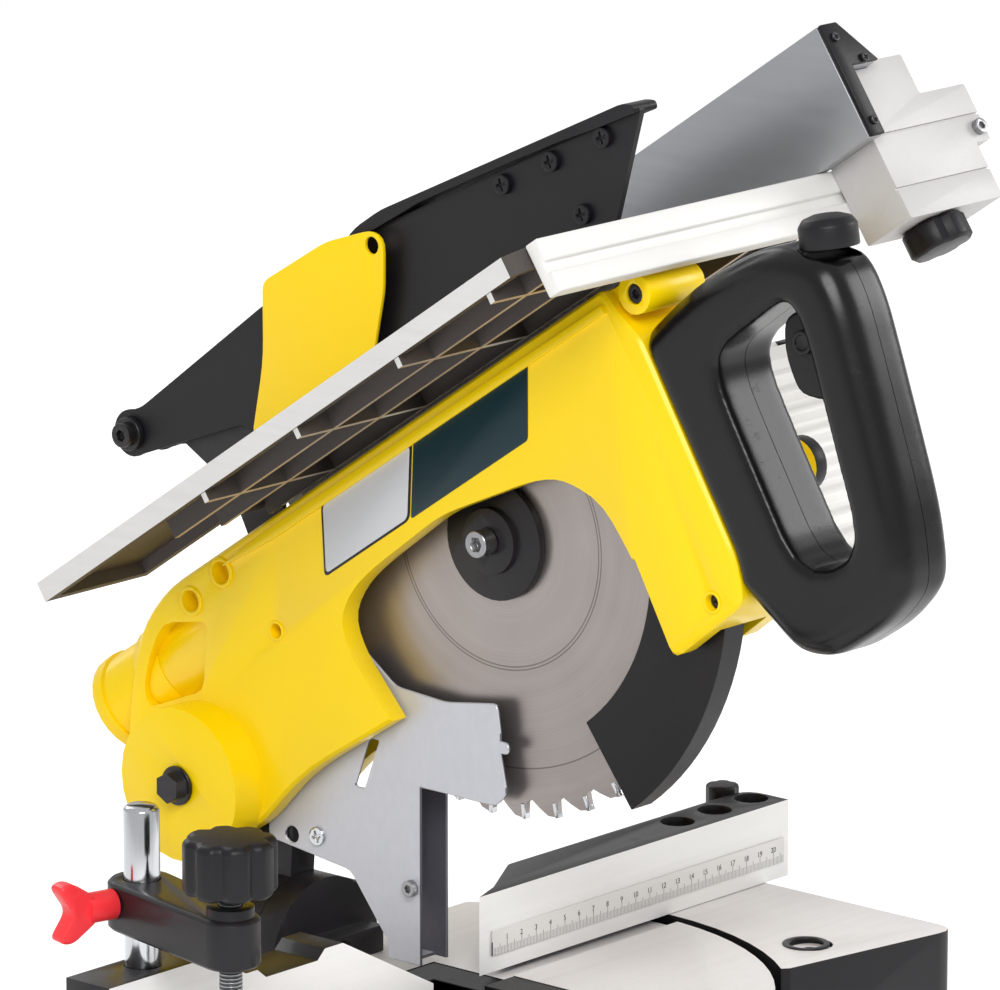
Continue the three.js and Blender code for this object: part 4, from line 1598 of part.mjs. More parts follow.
arborFrame.add(
  named('head_casting', headCasting(), YELLOW),
  named('latch_pin', latchPin(), STEEL),
  named('dust_port', dustPort(), YELLOW),
  named('drive_cover', driveCover(), BLACK_PLASTIC),
  named('motor_housing', motorHousing(), ALUMINIUM),
  named('motor_end_cap', motorCap(), BLACK_PLASTIC),
  named('capacitor', capacitor(), PLATE_YELLOW),
  named('handle_left', handleHalf(-1), BLACK_PLASTIC),
  named('handle_right', handleHalf(1), BLACK_PLASTIC),
  named('trigger', trigger(), BLACK_PLASTIC),
  named('lock_off_button', lockOffButton(), BLACK_PLASTIC),
  named('lower_guard', lowerGuard(), BLACK_PLASTIC),
  named('blade', sawBlade(), STEEL),
  named('inner_flange', innerFlange(), STEEL),
  named('outer_flange', outerFlange(), BLACK_PAINT),
  named('arbor_shaft', arborShaft(), STEEL),
  named('arbor_screw', arborScrew(), STEEL),
  named('arbor_bearing', arborBearing(), STEEL),
  named('rotor', rotor(), STEEL),
  named('motor_pulley', motorPulley(), STEEL),
  named('drive_belt', driveBelt(), RUBBER),
  named('upper_table', upperTable(), ALUMINIUM),
  named('table_apron', tableApron(), ALUMINIUM),
  named('table_column_front', tableColumn(COLUMN_PLACES[0]), STEEL),
  named('table_column_rear', tableColumn(COLUMN_PLACES[1]), STEEL),
  named('height_lock_knob', heightLockKnob(), BLACK_PLASTIC),
  named('rip_fence', ripFence(), WHITE_METAL),
  named('rip_fence_cap', ripFenceCap(), BLACK_PLASTIC),
  named('fence_carriage', fenceCarriage(), ALUMINIUM),
  named('carriage_knob', carriageKnob(), BLACK_PLASTIC),
  named('riving_knife', rivingKnife(), STEEL),
  named('blade_hood', bladeHood(), BLACK_PLASTIC),
  named('hood_screw', hoodScrew(), STEEL),
  named('hood_plate', hoodPlate(), PLATE_YELLOW),
);

const outline = new THREE.Box3().setFromObject(saw, true);
const middlePoint = outline.getCenter(new THREE.Vector3());
placed.position.set(-middlePoint.x, -middlePoint.y, -outline.min.z);
saw.updateMatrixWorld(true);

export default saw;
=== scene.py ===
# %% [markdown]
# # A mitre saw with an upper saw table
# The saw's solids come from the imported model, which is loaded first and never moved. This script gives every
# visible part its finish, rounds the edges that a casting or a moulding has, and adds the small pieces that the
# solids leave out, such as screws, label plates, ruler marks and blade tips. Everything is in metres, in the frame
# of the imported model: X to the operator's right, Y to the rear, Z up from the bench.

# %% Load the imported model, with a way to read a part's box
import json
import math

import bmesh
import bpy
from mathutils import Matrix, Vector


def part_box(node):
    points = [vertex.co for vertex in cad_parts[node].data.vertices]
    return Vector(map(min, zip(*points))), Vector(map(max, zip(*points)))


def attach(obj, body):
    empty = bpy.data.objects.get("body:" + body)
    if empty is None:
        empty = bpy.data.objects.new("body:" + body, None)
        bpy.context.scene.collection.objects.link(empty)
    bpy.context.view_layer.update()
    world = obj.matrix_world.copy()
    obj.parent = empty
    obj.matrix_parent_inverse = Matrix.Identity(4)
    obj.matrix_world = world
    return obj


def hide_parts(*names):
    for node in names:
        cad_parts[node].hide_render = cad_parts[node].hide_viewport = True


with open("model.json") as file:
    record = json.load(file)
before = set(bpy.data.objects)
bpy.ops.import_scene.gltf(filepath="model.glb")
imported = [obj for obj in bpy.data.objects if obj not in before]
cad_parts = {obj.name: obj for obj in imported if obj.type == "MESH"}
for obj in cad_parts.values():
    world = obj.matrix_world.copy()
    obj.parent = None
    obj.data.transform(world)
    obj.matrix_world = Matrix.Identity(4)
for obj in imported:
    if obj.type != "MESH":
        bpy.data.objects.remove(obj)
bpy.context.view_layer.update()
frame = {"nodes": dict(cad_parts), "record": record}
bpy.ops.object.select_all(action="DESELECT")
print("solids loaded:", len(frame["nodes"]))

# %% [markdown]
# ## Where things are
# The saw has its own measuring frame: the kerf plane is X = 0, the fence face Y = 0 and the lower table Z = 0. The
# head has another, centred on the blade's arbor and tipped back with the head. Two small functions turn those
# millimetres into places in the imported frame, so that each detail can be given by the numbers on a drawing.

# %% Turn drawing sizes into places
MM = 0.001
blade_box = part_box("blade")
SHIFT = Vector(((blade_box[0].x + blade_box[1].x) / 2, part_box("fence_right")[0].y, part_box("turntable")[1].z)) / MM
HEAD_LIFT = math.radians(34)
PIVOT = Vector((0, 132, 78))
ARBOR_FROM_PIVOT = Vector((0, -209, 21.6))

FLOOR_FRAME = Matrix.Scale(MM, 4) @ Matrix.Translation(SHIFT)
HEAD_FRAME = FLOOR_FRAME @ Matrix.Translation(PIVOT) @ Matrix.Rotation(-HEAD_LIFT, 4, "X") \
    @ Matrix.Translation(ARBOR_FROM_PIVOT)
print("blade centre at", [round(v, 4) for v in HEAD_FRAME @ Vector((0, 0, 0))])

# %% [markdown]
# ## The camera
# The photograph was taken from the operator's left, a little above the table, with a long lens. The camera stands
# where perspective, the round blade and the straight fence agree, and it looks straight along its own axis.

# %% Set the camera at the photograph's angle
VIEW_TURN = math.radians(48.6)
VIEW_DROP = math.radians(13.41)
FOCAL_PIXELS = 8100
FRAME_PIXELS = 1000
SENSOR_WIDTH = 36
FAR_LIMIT = 100
CAMERA_RIGHT, CAMERA_UP, CAMERA_BACK = 21.26, 221.5, 3657.08

right = Vector((math.cos(VIEW_TURN), -math.sin(VIEW_TURN), 0))
up = Vector((math.sin(VIEW_DROP) * math.sin(VIEW_TURN), math.sin(VIEW_DROP) * math.cos(VIEW_TURN),
             math.cos(VIEW_DROP)))
back = right.cross(up)
lens = bpy.data.cameras.new("camera")
lens.sensor_width = SENSOR_WIDTH
lens.lens = FOCAL_PIXELS / FRAME_PIXELS * SENSOR_WIDTH
lens.clip_end = FAR_LIMIT
camera = bpy.data.objects.new("camera", lens)
bpy.context.scene.collection.objects.link(camera)
standpoint = right * CAMERA_RIGHT + up * CAMERA_UP + back * CAMERA_BACK + SHIFT
camera.matrix_world = Matrix.Translation(standpoint * MM) @ Matrix((right, up, back)).transposed().to_4x4()
bpy.context.scene.camera = camera
print("camera at", [round(v, 3) for v in camera.location])

# %% [markdown]
# ## Light and floor
# A product photograph of this kind has soft light from all round, a stronger soft light from the front left, and a
# white floor. The world gives the even light, three large soft lamps give the bright and dark sides, and the floor
# stays a real surface, so that it catches the shadow.

# %% Light the saw evenly
scene = bpy.context.scene
scene.view_settings.view_transform = "Standard"
world = bpy.data.worlds.new("even_light")
scene.world = world
world.use_nodes = True
WORLD_STRENGTH = 0.68
PURE_WHITE = (1, 1, 1, 1)
sky = world.node_tree
sky.nodes["Background"].inputs["Color"].default_value = PURE_WHITE
sky.nodes["Background"].inputs["Strength"].default_value = WORLD_STRENGTH
white_sky = sky.nodes.new("ShaderNodeBackground")
white_sky.inputs["Color"].default_value = PURE_WHITE
seen_directly = sky.nodes.new("ShaderNodeLightPath")
choice = sky.nodes.new("ShaderNodeMixShader")
sky.links.new(seen_directly.outputs["Is Camera Ray"], choice.inputs[0])
sky.links.new(sky.nodes["Background"].outputs[0], choice.inputs[1])
sky.links.new(white_sky.outputs[0], choice.inputs[2])
sky.links.new(choice.outputs[0], sky.nodes["World Output"].inputs["Surface"])


def soft_lamp(name, place, target, size, watts):
    lamp = bpy.data.lights.new(name, "AREA")
    lamp.shape = "DISK"
    lamp.size = size
    lamp.energy = watts
    holder = bpy.data.objects.new(name, lamp)
    scene.collection.objects.link(holder)
    holder.location = place
    holder.rotation_euler = (Vector(target) - Vector(place)).to_track_quat("-Z", "Y").to_euler()
    return holder


SAW_MIDDLE = (0, 0, 0.26)
LAMPS = [("key_lamp", (-1.6, -1.5, 1.9), 1.2, 37), ("side_lamp", (1.9, -1.2, 1.2), 1.0, 15),
         ("back_lamp", (0.4, 2.0, 1.6), 1.4, 12)]
for lamp_name, stand, width, power in LAMPS:
    soft_lamp(lamp_name, stand, SAW_MIDDLE, width, power)
print("lamps:", len(LAMPS))

# %% [markdown]
# ## Writing a finish as sums
# A finish is a picture made of sums: noise times an amount, one mask minus another. Wrapping a socket in a small
# class lets those sums be written as plain Python, and each sum adds its Math node. Everything else goes through
# one method that takes the node's type, its settings and what its sockets are given.

# %% A class for socket sums and one for finishes


class Amount:
    """A number that changes over a surface: a socket of a node tree."""

    def __init__(self, finish, socket):
        self.finish = finish
        self.socket = socket

    def sum_of(self, operation, *values):
        return self.finish.node("Math", {"operation": operation}, dict(enumerate(values)))

    def __add__(self, other):
        return self.sum_of("ADD", self, other)

    def __radd__(self, other):
        return self.sum_of("ADD", other, self)

    def __sub__(self, other):
        return self.sum_of("SUBTRACT", self, other)

    def __rsub__(self, other):
        return self.sum_of("SUBTRACT", other, self)

    def __mul__(self, other):
        return self.sum_of("MULTIPLY", self, other)

    def __rmul__(self, other):
        return self.sum_of("MULTIPLY", other, self)

    def __pow__(self, other):
        return self.sum_of("POWER", self, other)

    def __abs__(self):
        return self.sum_of("ABSOLUTE", self)

    def fraction(self):
        return self.sum_of("FRACT", self)

    def sine(self):
        return self.sum_of("SINE", self)

    def above(self, limit):
        return self.sum_of("GREATER_THAN", self, limit)

    def clipped(self):
        return self.finish.node("Clamp", {}, {"Value": self})

    def ramped(self, low, high):
        return self.finish.node("MapRange", {"interpolation_type": "SMOOTHSTEP"},
                                {"Value": self, "From Min": low, "From Max": high})


class Finish:
    """A material being written: its tree, its surface shader and the ways to add nodes."""

    def __init__(self, name, roughness=0.5, metallic=0.0, **sockets):
        self.material = bpy.data.materials.new(name)
        self.material.use_nodes = True
        self.tree = self.material.node_tree
        self.shader = self.tree.nodes["Principled BSDF"]
        self.give(self.shader, {"Roughness": roughness, "Metallic": metallic, **sockets})
        self.places = self.node("TexCoord", {}, {}, "Object")

    def give(self, node, values):
        for key, value in values.items():
            socket = node.inputs[key]
            if isinstance(value, Amount):
                self.tree.links.new(value.socket, socket)
            elif socket.type == "RGBA" and len(value) == 3:
                socket.default_value = (*value, 1)
            else:
                socket.default_value = value

    def node(self, kind, settings, values, output=0):
        made = self.tree.nodes.new("ShaderNode" + kind)
        for key, value in settings.items():
            setattr(made, key, value)
        self.give(made, values)
        return Amount(self, made.outputs[output])

    def mixed(self, factor, first, second):
        return self.node("Mix", {"data_type": "RGBA"}, {0: factor, 6: first, 7: second}, 2)

    def noise(self, scale, detail=3.0, roughness=0.55, stretch=None):
        places = self.places
        if stretch:
            places = self.node("Mapping", {}, {"Vector": self.places, "Scale": stretch})
        return self.node("TexNoise", {}, {"Vector": places, "Scale": scale, "Detail": detail,
                                          "Roughness": roughness})

    def centred(self, centre):
        """Distance from the line through a point along X, for marks that run round a turned piece."""
        moved = self.node("VectorMath", {"operation": "SUBTRACT"}, {0: self.places, 1: tuple(centre)})
        across, upward = self.part(moved, 1), self.part(moved, 2)
        return (across * across + upward * upward) ** 0.5

    def part(self, vector, index):
        return self.node("SeparateXYZ", {}, {"Vector": vector}, index)

    def surface(self, **values):
        self.give(self.shader, {key.replace("_", " "): value for key, value in values.items()})
        return self

    def bumpy(self, height, strength, depth):
        bump = self.node("Bump", {}, {"Height": height, "Strength": strength, "Distance": depth})
        self.give(self.shader, {"Normal": bump})
        return self


def srgb(red, green, blue):
    """The linear colour of a colour written in the 0 to 255 steps of a paint chart."""
    shares = [step / 255 for step in (red, green, blue)]
    return tuple(v / 12.92 if v <= 0.04045 else ((v + 0.055) / 1.055) ** 2.4 for v in shares)


print("finish tools ready; white is", srgb(255, 255, 255))

# %% [markdown]
# ## The finishes
# The head is aluminium under gloss yellow enamel, which flows smooth but keeps a trace of orange peel. Mouldings are
# black plastic with a fine spark texture. The tables are bare milled aluminium with straight tool marks; the fence
# and base are painted castings whose working faces are milled bright. The blade is ground steel with marks that run
# round its centre. Each finish gets colour variation, its own roughness and a bump at the real scale.

# %% Enamel, plastic and rubber


def enamel(name, colour, dark_colour, roughness=0.3, peel=0.00006):
    made = Finish(name, roughness, 0.0, **{"Specular IOR Level": 0.25})
    broad = made.noise(9, 3)
    fine = made.noise(420, 2)
    dust = made.noise(60, 6, 0.7).ramped(0.56, 0.78)
    colour_now = made.mixed(broad * 0.5, colour, dark_colour)
    made.surface(Base_Color=made.mixed(dust * 0.12, colour_now, dark_colour),
                 Roughness=roughness + 0.12 * fine * broad + dust * 0.12, Coat_Weight=0.16, Coat_Roughness=0.1)
    return made.bumpy(made.noise(260, 1.5), 0.35, peel).material


def moulded(name, colour, pale_colour, roughness=0.42, grain=900.0, depth=0.00012):
    made = Finish(name, roughness, 0.0, **{"Specular IOR Level": 0.3})
    grains = made.noise(grain, 3, 0.6)
    broad = made.noise(14, 4)
    scuffs = made.noise(42, 8, 0.72, stretch=(1, 1, 3)).ramped(0.58, 0.74)
    made.surface(Base_Color=made.mixed(scuffs * 0.25 + broad * 0.2, colour, pale_colour),
                 Roughness=roughness + 0.16 * (grains - 0.5) + scuffs * 0.15)
    return made.bumpy(grains, 0.5, depth).material


YELLOW = enamel("yellow_enamel", srgb(255, 221, 0), srgb(255, 206, 0))
YELLOW_PLATE = enamel("yellow_plate", srgb(255, 219, 0), srgb(255, 205, 0), 0.38, 0.00003)
BLACK_PAINT = enamel("black_paint", srgb(22, 20, 23), srgb(38, 35, 39), 0.42, 0.0001)
BLACK_PLASTIC = moulded("black_plastic", srgb(19, 17, 20), srgb(40, 37, 42))
BLACK_GLOSS = moulded("black_gloss_plastic", srgb(13, 12, 14), srgb(27, 26, 29), 0.24, 1400.0, 0.00005)
RED_PLASTIC = moulded("red_plastic", srgb(244, 44, 54), srgb(252, 112, 112), 0.32, 700.0, 0.00006)
RUBBER = moulded("black_rubber", srgb(24, 24, 25), srgb(50, 50, 52), 0.8, 500.0, 0.0002)
print("coated finishes:", len(bpy.data.materials))

# %% [markdown]
# Bare metal needs direction. Milled and drawn metal has fine parallel marks, which are noise stretched along one
# axis; a casting that was only blasted has an even grain; plated sheet is nearly plain, with a soft cloudiness.

# %% Bare and plated metals


def milled(name, colour, dark_colour, stretch, roughness=0.34, metallic=0.75, marks=0.00004):
    made = Finish(name, roughness, metallic)
    lines = made.noise(260, 4, 0.7, stretch=stretch)
    broad = made.noise(11, 4)
    stain = made.noise(38, 6, 0.7).ramped(0.55, 0.8)
    tone = made.mixed(lines * 0.5 + broad * 0.35, colour, dark_colour)
    made.surface(Base_Color=made.mixed(stain * 0.3, tone, dark_colour),
                 Roughness=roughness + 0.22 * (lines - 0.5) + stain * 0.1)
    return made.bumpy(lines, 0.4, marks).material


def blasted(name, colour, dark_colour, roughness=0.5, metallic=0.6):
    made = Finish(name, roughness, metallic)
    grains = made.noise(1100, 3, 0.65)
    broad = made.noise(16, 5)
    made.surface(Base_Color=made.mixed(broad * 0.6 + grains * 0.25, colour, dark_colour),
                 Roughness=roughness + 0.2 * (grains - 0.5))
    return made.bumpy(grains, 0.55, 0.00015).material


TABLE_METAL = milled("milled_table", srgb(226, 225, 223), srgb(196, 195, 193), (1, 0.02, 1), 0.42, 0.2)
CAST_METAL = blasted("blasted_casting", srgb(242, 241, 238), srgb(218, 217, 213), 0.5, 0.08)
PALE_METAL = milled("pale_extrusion", srgb(180, 181, 185), srgb(156, 157, 161), (1, 0.015, 1), 0.4, 0.7)
SLIDE_METAL = blasted("slide_casting", srgb(208, 206, 205), srgb(184, 182, 181), 0.5, 0.15)
# painted shade: a dark grey copy of the plated sheet for the inside of the bracket's fold
SHADED_SHEET = milled("painted_shade_sheet", srgb(104, 103, 112), srgb(84, 83, 92), (1, 1, 0.6), 0.4, 0.2, 0.00001)
SHEET_METAL = milled("plated_sheet", srgb(206, 207, 214), srgb(182, 184, 192), (1, 1, 0.6), 0.34, 0.2, 0.00001)
STEEL = milled("turned_steel", srgb(172, 172, 174), srgb(120, 120, 122), (1, 1, 0.05), 0.3, 0.95)
CHROME = milled("bright_plating", srgb(214, 216, 219), srgb(176, 178, 181), (1, 1, 0.1), 0.16, 1.0, 0.00001)
DARK_STEEL = milled("blackened_steel", srgb(62, 60, 62), srgb(38, 37, 39), (1, 1, 1), 0.36, 0.7)
WHITE_FACE = milled("milled_white_face", srgb(246, 245, 243), srgb(224, 223, 220), (0.02, 1, 1), 0.46, 0.08)
PALE_TABLE = milled("pale_table", srgb(246, 242, 241), srgb(222, 218, 216), (0.02, 1, 1), 0.44, 0.08)
PLATE_PALE = moulded("pale_plate", srgb(206, 208, 211), srgb(226, 227, 229), 0.36, 500.0, 0.00002)
PLATE_TEAL = moulded("dark_teal_plate", srgb(14, 44, 52), srgb(26, 62, 70), 0.36, 500.0, 0.00002)
# painted shade: a dark brown for the cells under the upper table, standing for the shade between its ribs
SHADED_METAL = blasted("painted_shade_underside", srgb(74, 66, 62), srgb(52, 46, 43), 0.6, 0.2)
RIB_METAL = blasted("rib_edges", srgb(196, 178, 160), srgb(160, 142, 124), 0.5, 0.3)
print("finishes so far:", len(bpy.data.materials))

# %% [markdown]
# The blade is ground on a turning table, so its marks are circles about the arbor: the distance from the arbor's
# line drives fine rings, broader bands and two thin etched circles. Threads and ruler marks are also read from
# places: a sine along the rod gives a thread, and the share of a millimetre along the fence gives the division
# marks, each fifth and tenth of them longer. Each row of the divisions says how many marks there are to a
# millimetre, how thick a mark is as a share of its step, and how high it reaches on the ruler.

# %% Blade, thread and ruler


ETCHED_HALF = 0.00035


def ground_disc(name, colour, dark_colour, centre, etched):
    made = Finish(name, 0.3, 0.85)
    reach = made.centred(centre)
    rings = made.node("TexNoise", {"noise_dimensions": "1D"}, {"W": reach, "Scale": 2600.0, "Detail": 3.0})
    bands = made.node("TexNoise", {"noise_dimensions": "1D"}, {"W": reach, "Scale": 110.0, "Detail": 4.0})
    cloud = made.noise(24, 5)
    tone = made.mixed(rings * 0.45 + bands * 0.3 + cloud * 0.25, colour, dark_colour)
    for circle in etched:
        tone = made.mixed((ETCHED_HALF - abs(reach - circle)).above(0) * 0.55, tone, srgb(70, 66, 62))
    made.surface(Base_Color=tone, Roughness=0.3 + 0.2 * (rings - 0.5) + cloud * 0.12)
    return made.bumpy(rings, 0.35, 0.00002).material


def threaded(name, colour, dark_colour, pitch):
    made = Finish(name, 0.28, 0.9)
    height = made.part(made.places, 2)
    turns = (height * (2 * math.pi / pitch)).sine()
    tone = made.mixed(turns * 0.5 + 0.5, dark_colour, colour)
    made.surface(Base_Color=tone, Roughness=0.24 + 0.12 * made.noise(300, 3))
    return made.bumpy(turns, 0.8, pitch * 0.3).material


DIVISIONS = [(1, 0.24, 0.3), (0.2, 0.055, 0.42), (0.1, 0.03, 0.55)]


def divided(name, colour, ink, first, low, tall):
    made = Finish(name, 0.42, 0.08)
    along = (made.part(made.places, 0) - first) * (1 / MM)
    upward = (made.part(made.places, 2) - low) * (1 / tall)
    marks = [(thick - (along * share).fraction()).above(0) * (reach - upward).above(0)
             for share, thick, reach in DIVISIONS]
    lines = made.noise(260, 4, 0.7, stretch=(0.02, 1, 1))
    metal = made.mixed(lines * 0.35, colour, srgb(196, 196, 192))
    made.surface(Base_Color=made.mixed(sum(marks[1:], marks[0]).clipped(), metal, ink),
                 Roughness=0.4 + 0.16 * (lines - 0.5))
    return made.bumpy(lines, 0.35, 0.00002).material


BLADE_STEEL = ground_disc("ground_blade", srgb(180, 173, 170), srgb(136, 128, 125),
                          HEAD_FRAME @ Vector((0, 0, 0)), (0.058, 0.0595, 0.104))
THREAD_STEEL = threaded("threaded_rod", srgb(190, 194, 196), srgb(84, 86, 88), 0.0017)
RULER_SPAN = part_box("ruler_right")
RULER = divided("ruler_face", srgb(228, 226, 223), srgb(60, 60, 62), RULER_SPAN[0].x, RULER_SPAN[0].z,
                RULER_SPAN[1].z - RULER_SPAN[0].z)
print("finishes in all:", len(bpy.data.materials))

# %% [markdown]
# ## Rounded edges
# A solid from the drawing has knife edges, which no casting, moulding or sheet has. A copy of each solid is merged,
# its flat areas are made single faces again, and a bevel no wider than the real radius is put on its edges. The copy
# then stands for the solid. Where a solid turns, the copy turns with it, because it rides on the same body.

# %% Copy a solid and round its edges
SMOOTH_ANGLE = math.radians(32)
EDGE_ANGLE = math.radians(28)
FLAT_ANGLE = math.radians(0.6)
MERGE_REACH = 0.000004


def place(piece, finish, body, slot_name, *nodes):
    """Gives a finished piece its material, its body and the solids that it stands for."""
    piece.data.materials.clear()
    piece.data.materials.append(finish)
    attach(piece, body)
    if nodes:
        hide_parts(*nodes)
    return piece


def apply_all(piece):
    bpy.ops.object.select_all(action="DESELECT")
    bpy.context.view_layer.objects.active = piece
    piece.select_set(True)
    for modifier in list(piece.modifiers):
        bpy.ops.object.modifier_apply(modifier=modifier.name)


def smooth(piece, angle=SMOOTH_ANGLE):
    bpy.ops.object.select_all(action="DESELECT")
    bpy.context.view_layer.objects.active = piece
    piece.select_set(True)
    bpy.ops.object.shade_smooth_by_angle(angle=angle)
    piece.select_set(False)
    return piece


def merged_copy(node):
    source = frame["nodes"][node]
    copy = bpy.data.objects.new(node + "_dressed", source.data.copy())
    scene.collection.objects.link(copy)
    bpy.ops.object.select_all(action="DESELECT")
    bpy.context.view_layer.objects.active = copy
    copy.select_set(True)
    bpy.ops.object.mode_set(mode="EDIT")
    bpy.ops.mesh.select_all(action="SELECT")
    bpy.ops.mesh.remove_doubles(threshold=MERGE_REACH)
    bpy.ops.mesh.dissolve_limited(angle_limit=FLAT_ANGLE)
    bpy.ops.object.mode_set(mode="OBJECT")
    return copy


def rounded_copy(node, width, segments):
    copy = merged_copy(node)
    if width:
        bevel = copy.modifiers.new("edges", "BEVEL")
        bevel.width = width * MM
        bevel.segments = segments
        bevel.limit_method = "ANGLE"
        bevel.angle_limit = EDGE_ANGLE
        apply_all(copy)
    return smooth(copy)


BODY_OF = {name: body for body, names in frame["record"]["behaviour"]["bodies"].items() for name in names}
SLOT_OF = {row["node"]: row["material_slot"] for row in frame["record"]["subparts"]}


def dress(node, finish, width, segments):
    return place(rounded_copy(node, width, segments), finish, BODY_OF[node], SLOT_OF[node], node)


def paint_faces(piece, second, chosen):
    """Gives the second finish to the faces that a test picks by their direction and middle."""
    piece.data.materials.append(second)
    for face in piece.data.polygons:
        if chosen(face.normal, face.center):
            face.material_index = len(piece.data.materials) - 1
    return piece


EDGES = [
    (("head_casting",), YELLOW, 1.6, 2),
    (("bevel_bracket", "bevel_support"), BLACK_PAINT, 1.2, 2),
    (("lower_guard",), BLACK_PLASTIC, 0.35, 1),
    (("table_apron",), CAST_METAL, 0.8, 2),
    (("fence_carriage",), SLIDE_METAL, 0.8, 2),
    (("rip_fence",), PALE_METAL, 0.4, 2),
    (("ruler_right",), RULER, 0.1, 1),
    (("dust_port",), YELLOW, 0.8, 2),
    (("drive_cover", "motor_end_cap", "trigger", "mitre_detent_lever", "bevel_lock_lever", "rip_fence_cap",
      "lock_off_button"), BLACK_PLASTIC, 0.7, 2),
    (("motor_housing",), CAST_METAL, 0.4, 1),
    (("blade_hood",), BLACK_PLASTIC, 0.5, 1),
    (("hood_plate",), YELLOW_PLATE, 0.4, 2),
    (("clamp_arm",), BLACK_PAINT, 1.0, 2),
    (("clamp_wing_screw",), RED_PLASTIC, 1.0, 2),
    (("clamp_knob", "mitre_lock_knob", "height_lock_knob", "fence_lock_knob"), BLACK_PLASTIC, 1.2, 3),
    (("carriage_knob",), BLACK_PLASTIC, 0.25, 1),
    (("kerf_insert",), BLACK_PLASTIC, 0.4, 1),
    (("foot_front_left", "foot_rear_left", "foot_front_right", "foot_rear_right"), RUBBER, 0.6, 2),
    (("clamp_post",), CHROME, 0.3, 1),
    (("clamp_spindle",), THREAD_STEEL, 0.3, 1),
    (("pivot_shaft", "riving_knife", "hood_screw"), DARK_STEEL, 0.3, 1),
    (("clamp_pad", "arbor_screw", "inner_flange", "latch_pin",
      "table_column_front", "table_column_rear"), STEEL, 0.3, 1),
    (("outer_flange",), BLACK_PAINT, 0.6, 2),
    (("blade",), BLADE_STEEL, 0.0, 1),
]
for nodes, finish, width, segments in EDGES:
    for node in nodes:
        dress(node, finish, width, segments)
KEPT_NODES = {"arbor_shaft": STEEL, "arbor_bearing": CHROME, "rotor": DARK_STEEL, "motor_pulley": STEEL,
              "drive_belt": RUBBER, "return_spring": STEEL, "bevel_pivot_bolt": STEEL}
for node, finish in KEPT_NODES.items():
    frame["nodes"][node].data.materials.clear()
    frame["nodes"][node].data.materials.append(finish)
print("dressed copies:", sum(len(row[0]) for row in EDGES), "kept solids:", len(KEPT_NODES))

# %% [markdown]
# ## Castings with milled faces
# The base, the fence and the turntable are painted or blasted castings, and only their working faces are milled
# bright. One object keeps both: its faces are sorted by the way they face, so that the milled ones get the bright
# finish, and the rest stay dark. The disc on the motor has a yellow face and a black rim.

# %% Milled tops and fronts
table_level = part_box("turntable")[1].z
fence_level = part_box("fence_right")[0].y
FACE_DEPTH, TOP_DEPTH, SQUARE_ON = 0.0009, 0.004, 0.9


def faces_up(normal, middle):
    return normal.z > SQUARE_ON and middle.z > table_level - TOP_DEPTH


def faces_front(normal, middle):
    return normal.y < -SQUARE_ON and middle.y < fence_level + FACE_DEPTH


def faces_left(normal, middle):
    return normal.x < -SQUARE_ON


TWO_TONE = [
    ("base_casting", BLACK_PAINT, PALE_TABLE, faces_up),
    ("turntable", BLACK_PAINT, PALE_TABLE, faces_up),
    ("fence_left", BLACK_PAINT, WHITE_FACE, faces_front),
    ("fence_right", BLACK_PAINT, WHITE_FACE, faces_front),
    ("capacitor", BLACK_PLASTIC, YELLOW_PLATE, faces_left),
]
CASTING_EDGE = 0.7
for node, first, second, chosen in TWO_TONE:
    paint_faces(dress(node, first, CASTING_EDGE, 2), second, chosen)
print("castings with milled faces:", len(TWO_TONE))

# %% [markdown]
# The sheet bracket is plated, and inside its fold, where the blade runs between the two sides, its faces get a dark
# painted shade.

# %% Painted shade in the fold of the bracket
SHEET_PLACES = FLOOR_FRAME.inverted()
FOLD_HALF, MOSTLY_ON, THIN_EDGE = 9.4, 0.7, 0.4


def inside_fold(normal, middle):
    spot = SHEET_PLACES @ middle
    faces_inward = spot.x * normal.x < 0 and abs(normal.x) > MOSTLY_ON
    return abs(spot.x) < FOLD_HALF and (faces_inward or normal.y < -MOSTLY_ON)


def faces_by_finish(piece):
    return [sum(face.material_index == k for face in piece.data.polygons) for k in range(len(piece.data.materials))]


# the faces inside the fold get the painted shade
bracket_copy = paint_faces(dress("guard_bracket", SHEET_METAL, THIN_EDGE, 1), SHADED_SHEET, inside_fold)
print("bracket faces by finish:", faces_by_finish(bracket_copy))

# %% [markdown]
# The upper table is bright on top and round its skirt, but its ribbed underside was never machined. The cells
# between the ribs get a dark brown painted shade, standing for the shade between the ribs, and only the ribs' lower
# edges get a paler, warmer tone. The faces are sorted by their place in the head's own frame, where the table lies
# level.

# %% The ribbed underside
HEAD_PLACES = HEAD_FRAME.inverted()
TABLE_LEFT, TABLE_RIGHT, TABLE_FRONT, TABLE_REAR = -92, 146, -160, 185
NOTCH_SIDE, NOTCH_REAR, PLATE_UNDERSIDE, RIB_UNDERSIDE, WALL_HALF = -26, 119, 77.2, 67.6, 2.5
BLADE_SLOT_HALF, BLADE_SLOT_REAR = 6.4, 166


def inside_skirt(normal, middle):
    spot = HEAD_PLACES @ middle
    in_blade_slot = abs(spot.x) < BLADE_SLOT_HALF and spot.y < BLADE_SLOT_REAR
    if spot.z > PLATE_UNDERSIDE or in_blade_slot:
        return False
    sideways = TABLE_LEFT + WALL_HALF < spot.x < TABLE_RIGHT - WALL_HALF
    lengthways = TABLE_FRONT + WALL_HALF < spot.y < TABLE_REAR - WALL_HALF
    in_notch = spot.x > NOTCH_SIDE - WALL_HALF and spot.y > NOTCH_REAR - WALL_HALF
    return sideways and lengthways and not in_notch


def rib_edge(normal, middle):
    return inside_skirt(normal, middle) and (HEAD_PLACES @ middle).z < RIB_UNDERSIDE


table_copy = dress("upper_table", TABLE_METAL, THIN_EDGE, 1)
# the cells between the ribs get the painted shade
paint_faces(table_copy, SHADED_METAL, inside_skirt)
paint_faces(table_copy, RIB_METAL, rib_edge)
print("table faces by finish:", faces_by_finish(table_copy))

